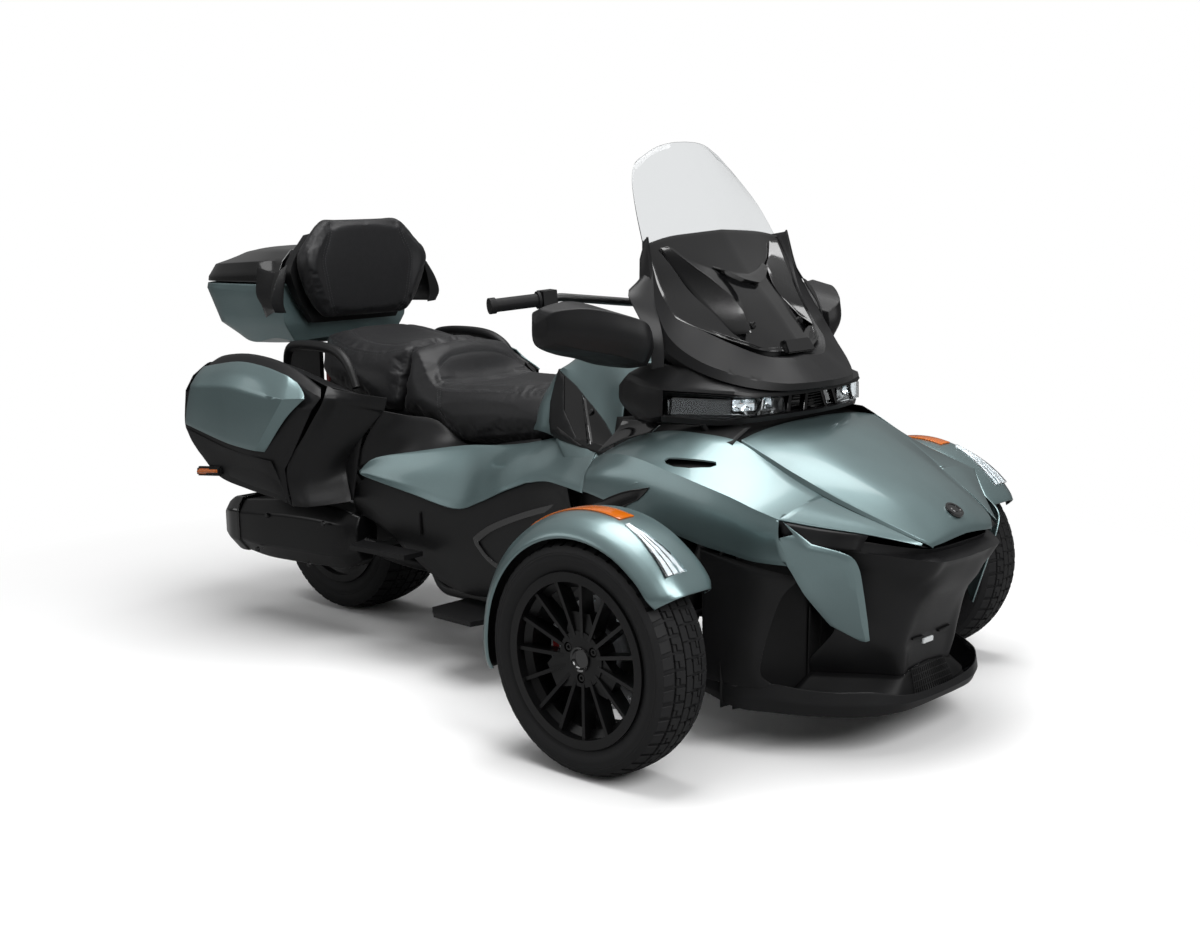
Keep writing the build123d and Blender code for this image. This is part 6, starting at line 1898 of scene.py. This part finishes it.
# twin rows of thread beside each seam, laid on the finished cover; sizes in metres
stitch = {"step": 0.0068, "aside": 0.0052, "length": 0.0022, "width": 0.0006, "height": 0.0005, "lift": 0.0002}


# the pose of every stitch on both sides of the seams
def stitchPoses(base, lines):
    poses = []
    size = Matrix.Diagonal((stitch["length"], stitch["width"], stitch["height"], 1.0))
    for line in lines:
        dense = smoothRun(line, steps=30)
        travelled, last = 0.0, dense[0]
        for here, after in zip(dense, dense[1:]):
            travelled += (here - last).length
            last = here
            if travelled < stitch["step"]:
                continue
            travelled = 0.0
            hit, spot, normal, _ = base.closest_point_on_mesh(here)
            if not hit:
                continue
            way = (after - here).normalized()
            outwards = normal.cross(way).normalized()
            for offset in (-stitch["aside"], stitch["aside"]):
                place, up = base.closest_point_on_mesh(spot + outwards * offset)[1:3]
                turn = Matrix((way, up.cross(way), up)).transposed().to_4x4()
                poses.append(Matrix.Translation(place + up * stitch["lift"]) @ turn @ size)
    return poses


def buildStitches():
    covers = {"rider_seat": "rider_seatCover", "passenger_seat": "passenger_seatCover", "backrest_pad": "backrestCover"}
    for node, cover in covers.items():
        base = bpy.data.objects[cover].evaluated_get(bpy.context.evaluated_depsgraph_get())
        bm = bmesh.new()
        for pose in stitchPoses(base, bothSides(seamLines[node])):
            bmesh.ops.create_icosphere(bm, subdivisions=1, radius=1.0, matrix=pose)
        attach(toObject(bm, node + "Stitching", "seat_thread", 60), "chassis")


finishes["seat_thread"] = mouldedPlastic("bondedThread", "#4a4b4d", "#5c5d5f", 0.6, 0.8)
buildSeats()
buildStitches()
print("seats ready")


# a pale floor that runs up into the background, soft lamps, and the viewing angle
studio = {
    "floorSize": 40.0,
    "floorColour": "#f4f4f4",
    "fadeFrom": 1.5,
    "fadeTo": 2.7,
    "bounceShadeColour": "#9a9a9a",
    "skyLevel": 0.5,
    "horizonLevel": 0.04,
    "mirrorShare": 0.05,
    "lamps": [  # name, place, target, width and height, watts
        ("topLamp", (0.2, 0.0, 5.0), (0, 0, 0), (5.0, 3.0), 240.0),
        ("keyLamp", (4.5, -1.0, 3.2), (0.6, 0, 0.5), (3.0, 2.5), 160.0),
        ("rimLamp", (-3.5, -4.5, 2.5), (-0.4, 0, 0.6), (3.5, 2.0), 32.0),
    ],
    "cameraAt": (3.3822, -3.3895, 1.3292),
    "heading": 133.04,
    "pitch": -9.22,
    "roll": -1.26,
    "lens": 49.53,
}


# paper that scatters light near the object and is plain white further out, so that no horizon shows; in the object's
# bounce light and reflections it is a darker grey, painted shade on the object's lower and side faces
def paperBackdrop():
    material, tree = newMaterial("paperBackdrop")
    place = addNode(tree, "ShaderNodeTexCoord").outputs["Object"]
    reach = addNode(tree, "ShaderNodeVectorMath", {"operation": "LENGTH"}, i0=place)
    fade = addNode(
        tree, "ShaderNodeMapRange", Value=reach.outputs["Value"], From_Min=studio["fadeFrom"],
        From_Max=studio["fadeTo"],
    )
    ray = addNode(tree, "ShaderNodeLightPath").outputs
    seen = addNode(
        tree, "ShaderNodeMath", {"operation": "MAXIMUM"}, i0=ray["Is Camera Ray"], i1=ray["Is Transmission Ray"]
    )
    # the paper's own colour where the camera sees it or looks through glass, and a darker grey elsewhere: painted shade
    # in its bounce light and reflections
    tint = addNode(
        tree, "ShaderNodeMix", {"data_type": "RGBA"}, i0=seen.outputs[0], i6=hexColour(studio["bounceShadeColour"]),
        i7=hexColour(studio["floorColour"]),
    )
    paper = addNode(tree, "ShaderNodeBsdfDiffuse", Color=tint.outputs[2])
    white = addNode(tree, "ShaderNodeEmission", Color=(1, 1, 1, 1), Strength=1.0)
    share = addNode(tree, "ShaderNodeMath", {"operation": "MULTIPLY"}, i0=seen.outputs[0], i1=fade.outputs[0])
    mix = addNode(tree, "ShaderNodeMixShader", i0=share.outputs[0], i1=paper.outputs[0], i2=white.outputs[0])
    addNode(tree, "ShaderNodeOutputMaterial", Surface=mix.outputs[0])
    return material


# a sky that is white where it is looked at and dimmer, from the horizon upwards, where it lights the object
def studioSky():
    world = bpy.data.worlds.new("studioSky")
    world.use_nodes = True
    tree = world.node_tree
    tree.nodes.clear()
    ray = addNode(tree, "ShaderNodeLightPath").outputs
    looked = addNode(
        tree, "ShaderNodeMath", {"operation": "MAXIMUM"}, i0=ray["Is Camera Ray"], i1=ray["Is Transmission Ray"]
    )
    seen = addNode(
        tree, "ShaderNodeMath", {"operation": "MULTIPLY_ADD", "use_clamp": True}, i0=ray["Is Glossy Ray"],
        i1=studio["mirrorShare"], i2=looked.outputs[0],
    )
    direction = addNode(tree, "ShaderNodeTexCoord").outputs["Generated"]
    height = addNode(tree, "ShaderNodeSeparateXYZ", Vector=direction)
    glow = addNode(
        tree, "ShaderNodeMapRange", Value=height.outputs[2], To_Min=studio["horizonLevel"], To_Max=studio["skyLevel"],
    )
    lit = addNode(tree, "ShaderNodeBackground", Color=(1, 1, 1, 1), Strength=glow.outputs[0])
    white = addNode(tree, "ShaderNodeBackground", Color=(1, 1, 1, 1), Strength=1.0)
    mix = addNode(tree, "ShaderNodeMixShader", i0=seen.outputs[0], i1=lit.outputs[0], i2=white.outputs[0])
    addNode(tree, "ShaderNodeOutputWorld", Surface=mix.outputs[0])
    return world


def buildStudio():
    scene = bpy.context.scene
    scene.view_settings.view_transform = "Standard"
    half = studio["floorSize"] / 2
    mesh = bpy.data.meshes.new("studioFloor")
    mesh.from_pydata([(-half, -half, 0), (half, -half, 0), (half, half, 0), (-half, half, 0)], [], [(0, 1, 2, 3)])
    mesh.materials.append(paperBackdrop())
    floor = bpy.data.objects.new("studioFloor", mesh)
    scene.collection.objects.link(floor)
    scene.world = studioSky()
    for name, place, target, size, power in studio["lamps"]:
        lamp = bpy.data.lights.new(name, "AREA")
        lamp.shape = "RECTANGLE"
        lamp.size, lamp.size_y = size
        lamp.energy = power
        holder = bpy.data.objects.new(name, lamp)
        holder.location = place
        holder.rotation_euler = (Vector(target) - Vector(place)).to_track_quat("-Z", "Y").to_euler()
        scene.collection.objects.link(holder)


def placeCamera():
    data = bpy.data.cameras.new("viewCamera")
    data.lens = studio["lens"]
    camera = bpy.data.objects.new("viewCamera", data)
    turn = Matrix.Rotation(math.radians(studio["heading"] - 90), 4, "Z")
    tilt = Matrix.Rotation(math.radians(90 + studio["pitch"]), 4, "X")
    roll = Matrix.Rotation(math.radians(studio["roll"]), 4, "Z")
    camera.matrix_world = Matrix.Translation(studio["cameraAt"]) @ turn @ tilt @ roll
    bpy.context.scene.collection.objects.link(camera)
    bpy.context.scene.camera = camera


buildStudio()
placeCamera()
print("studio and camera ready")
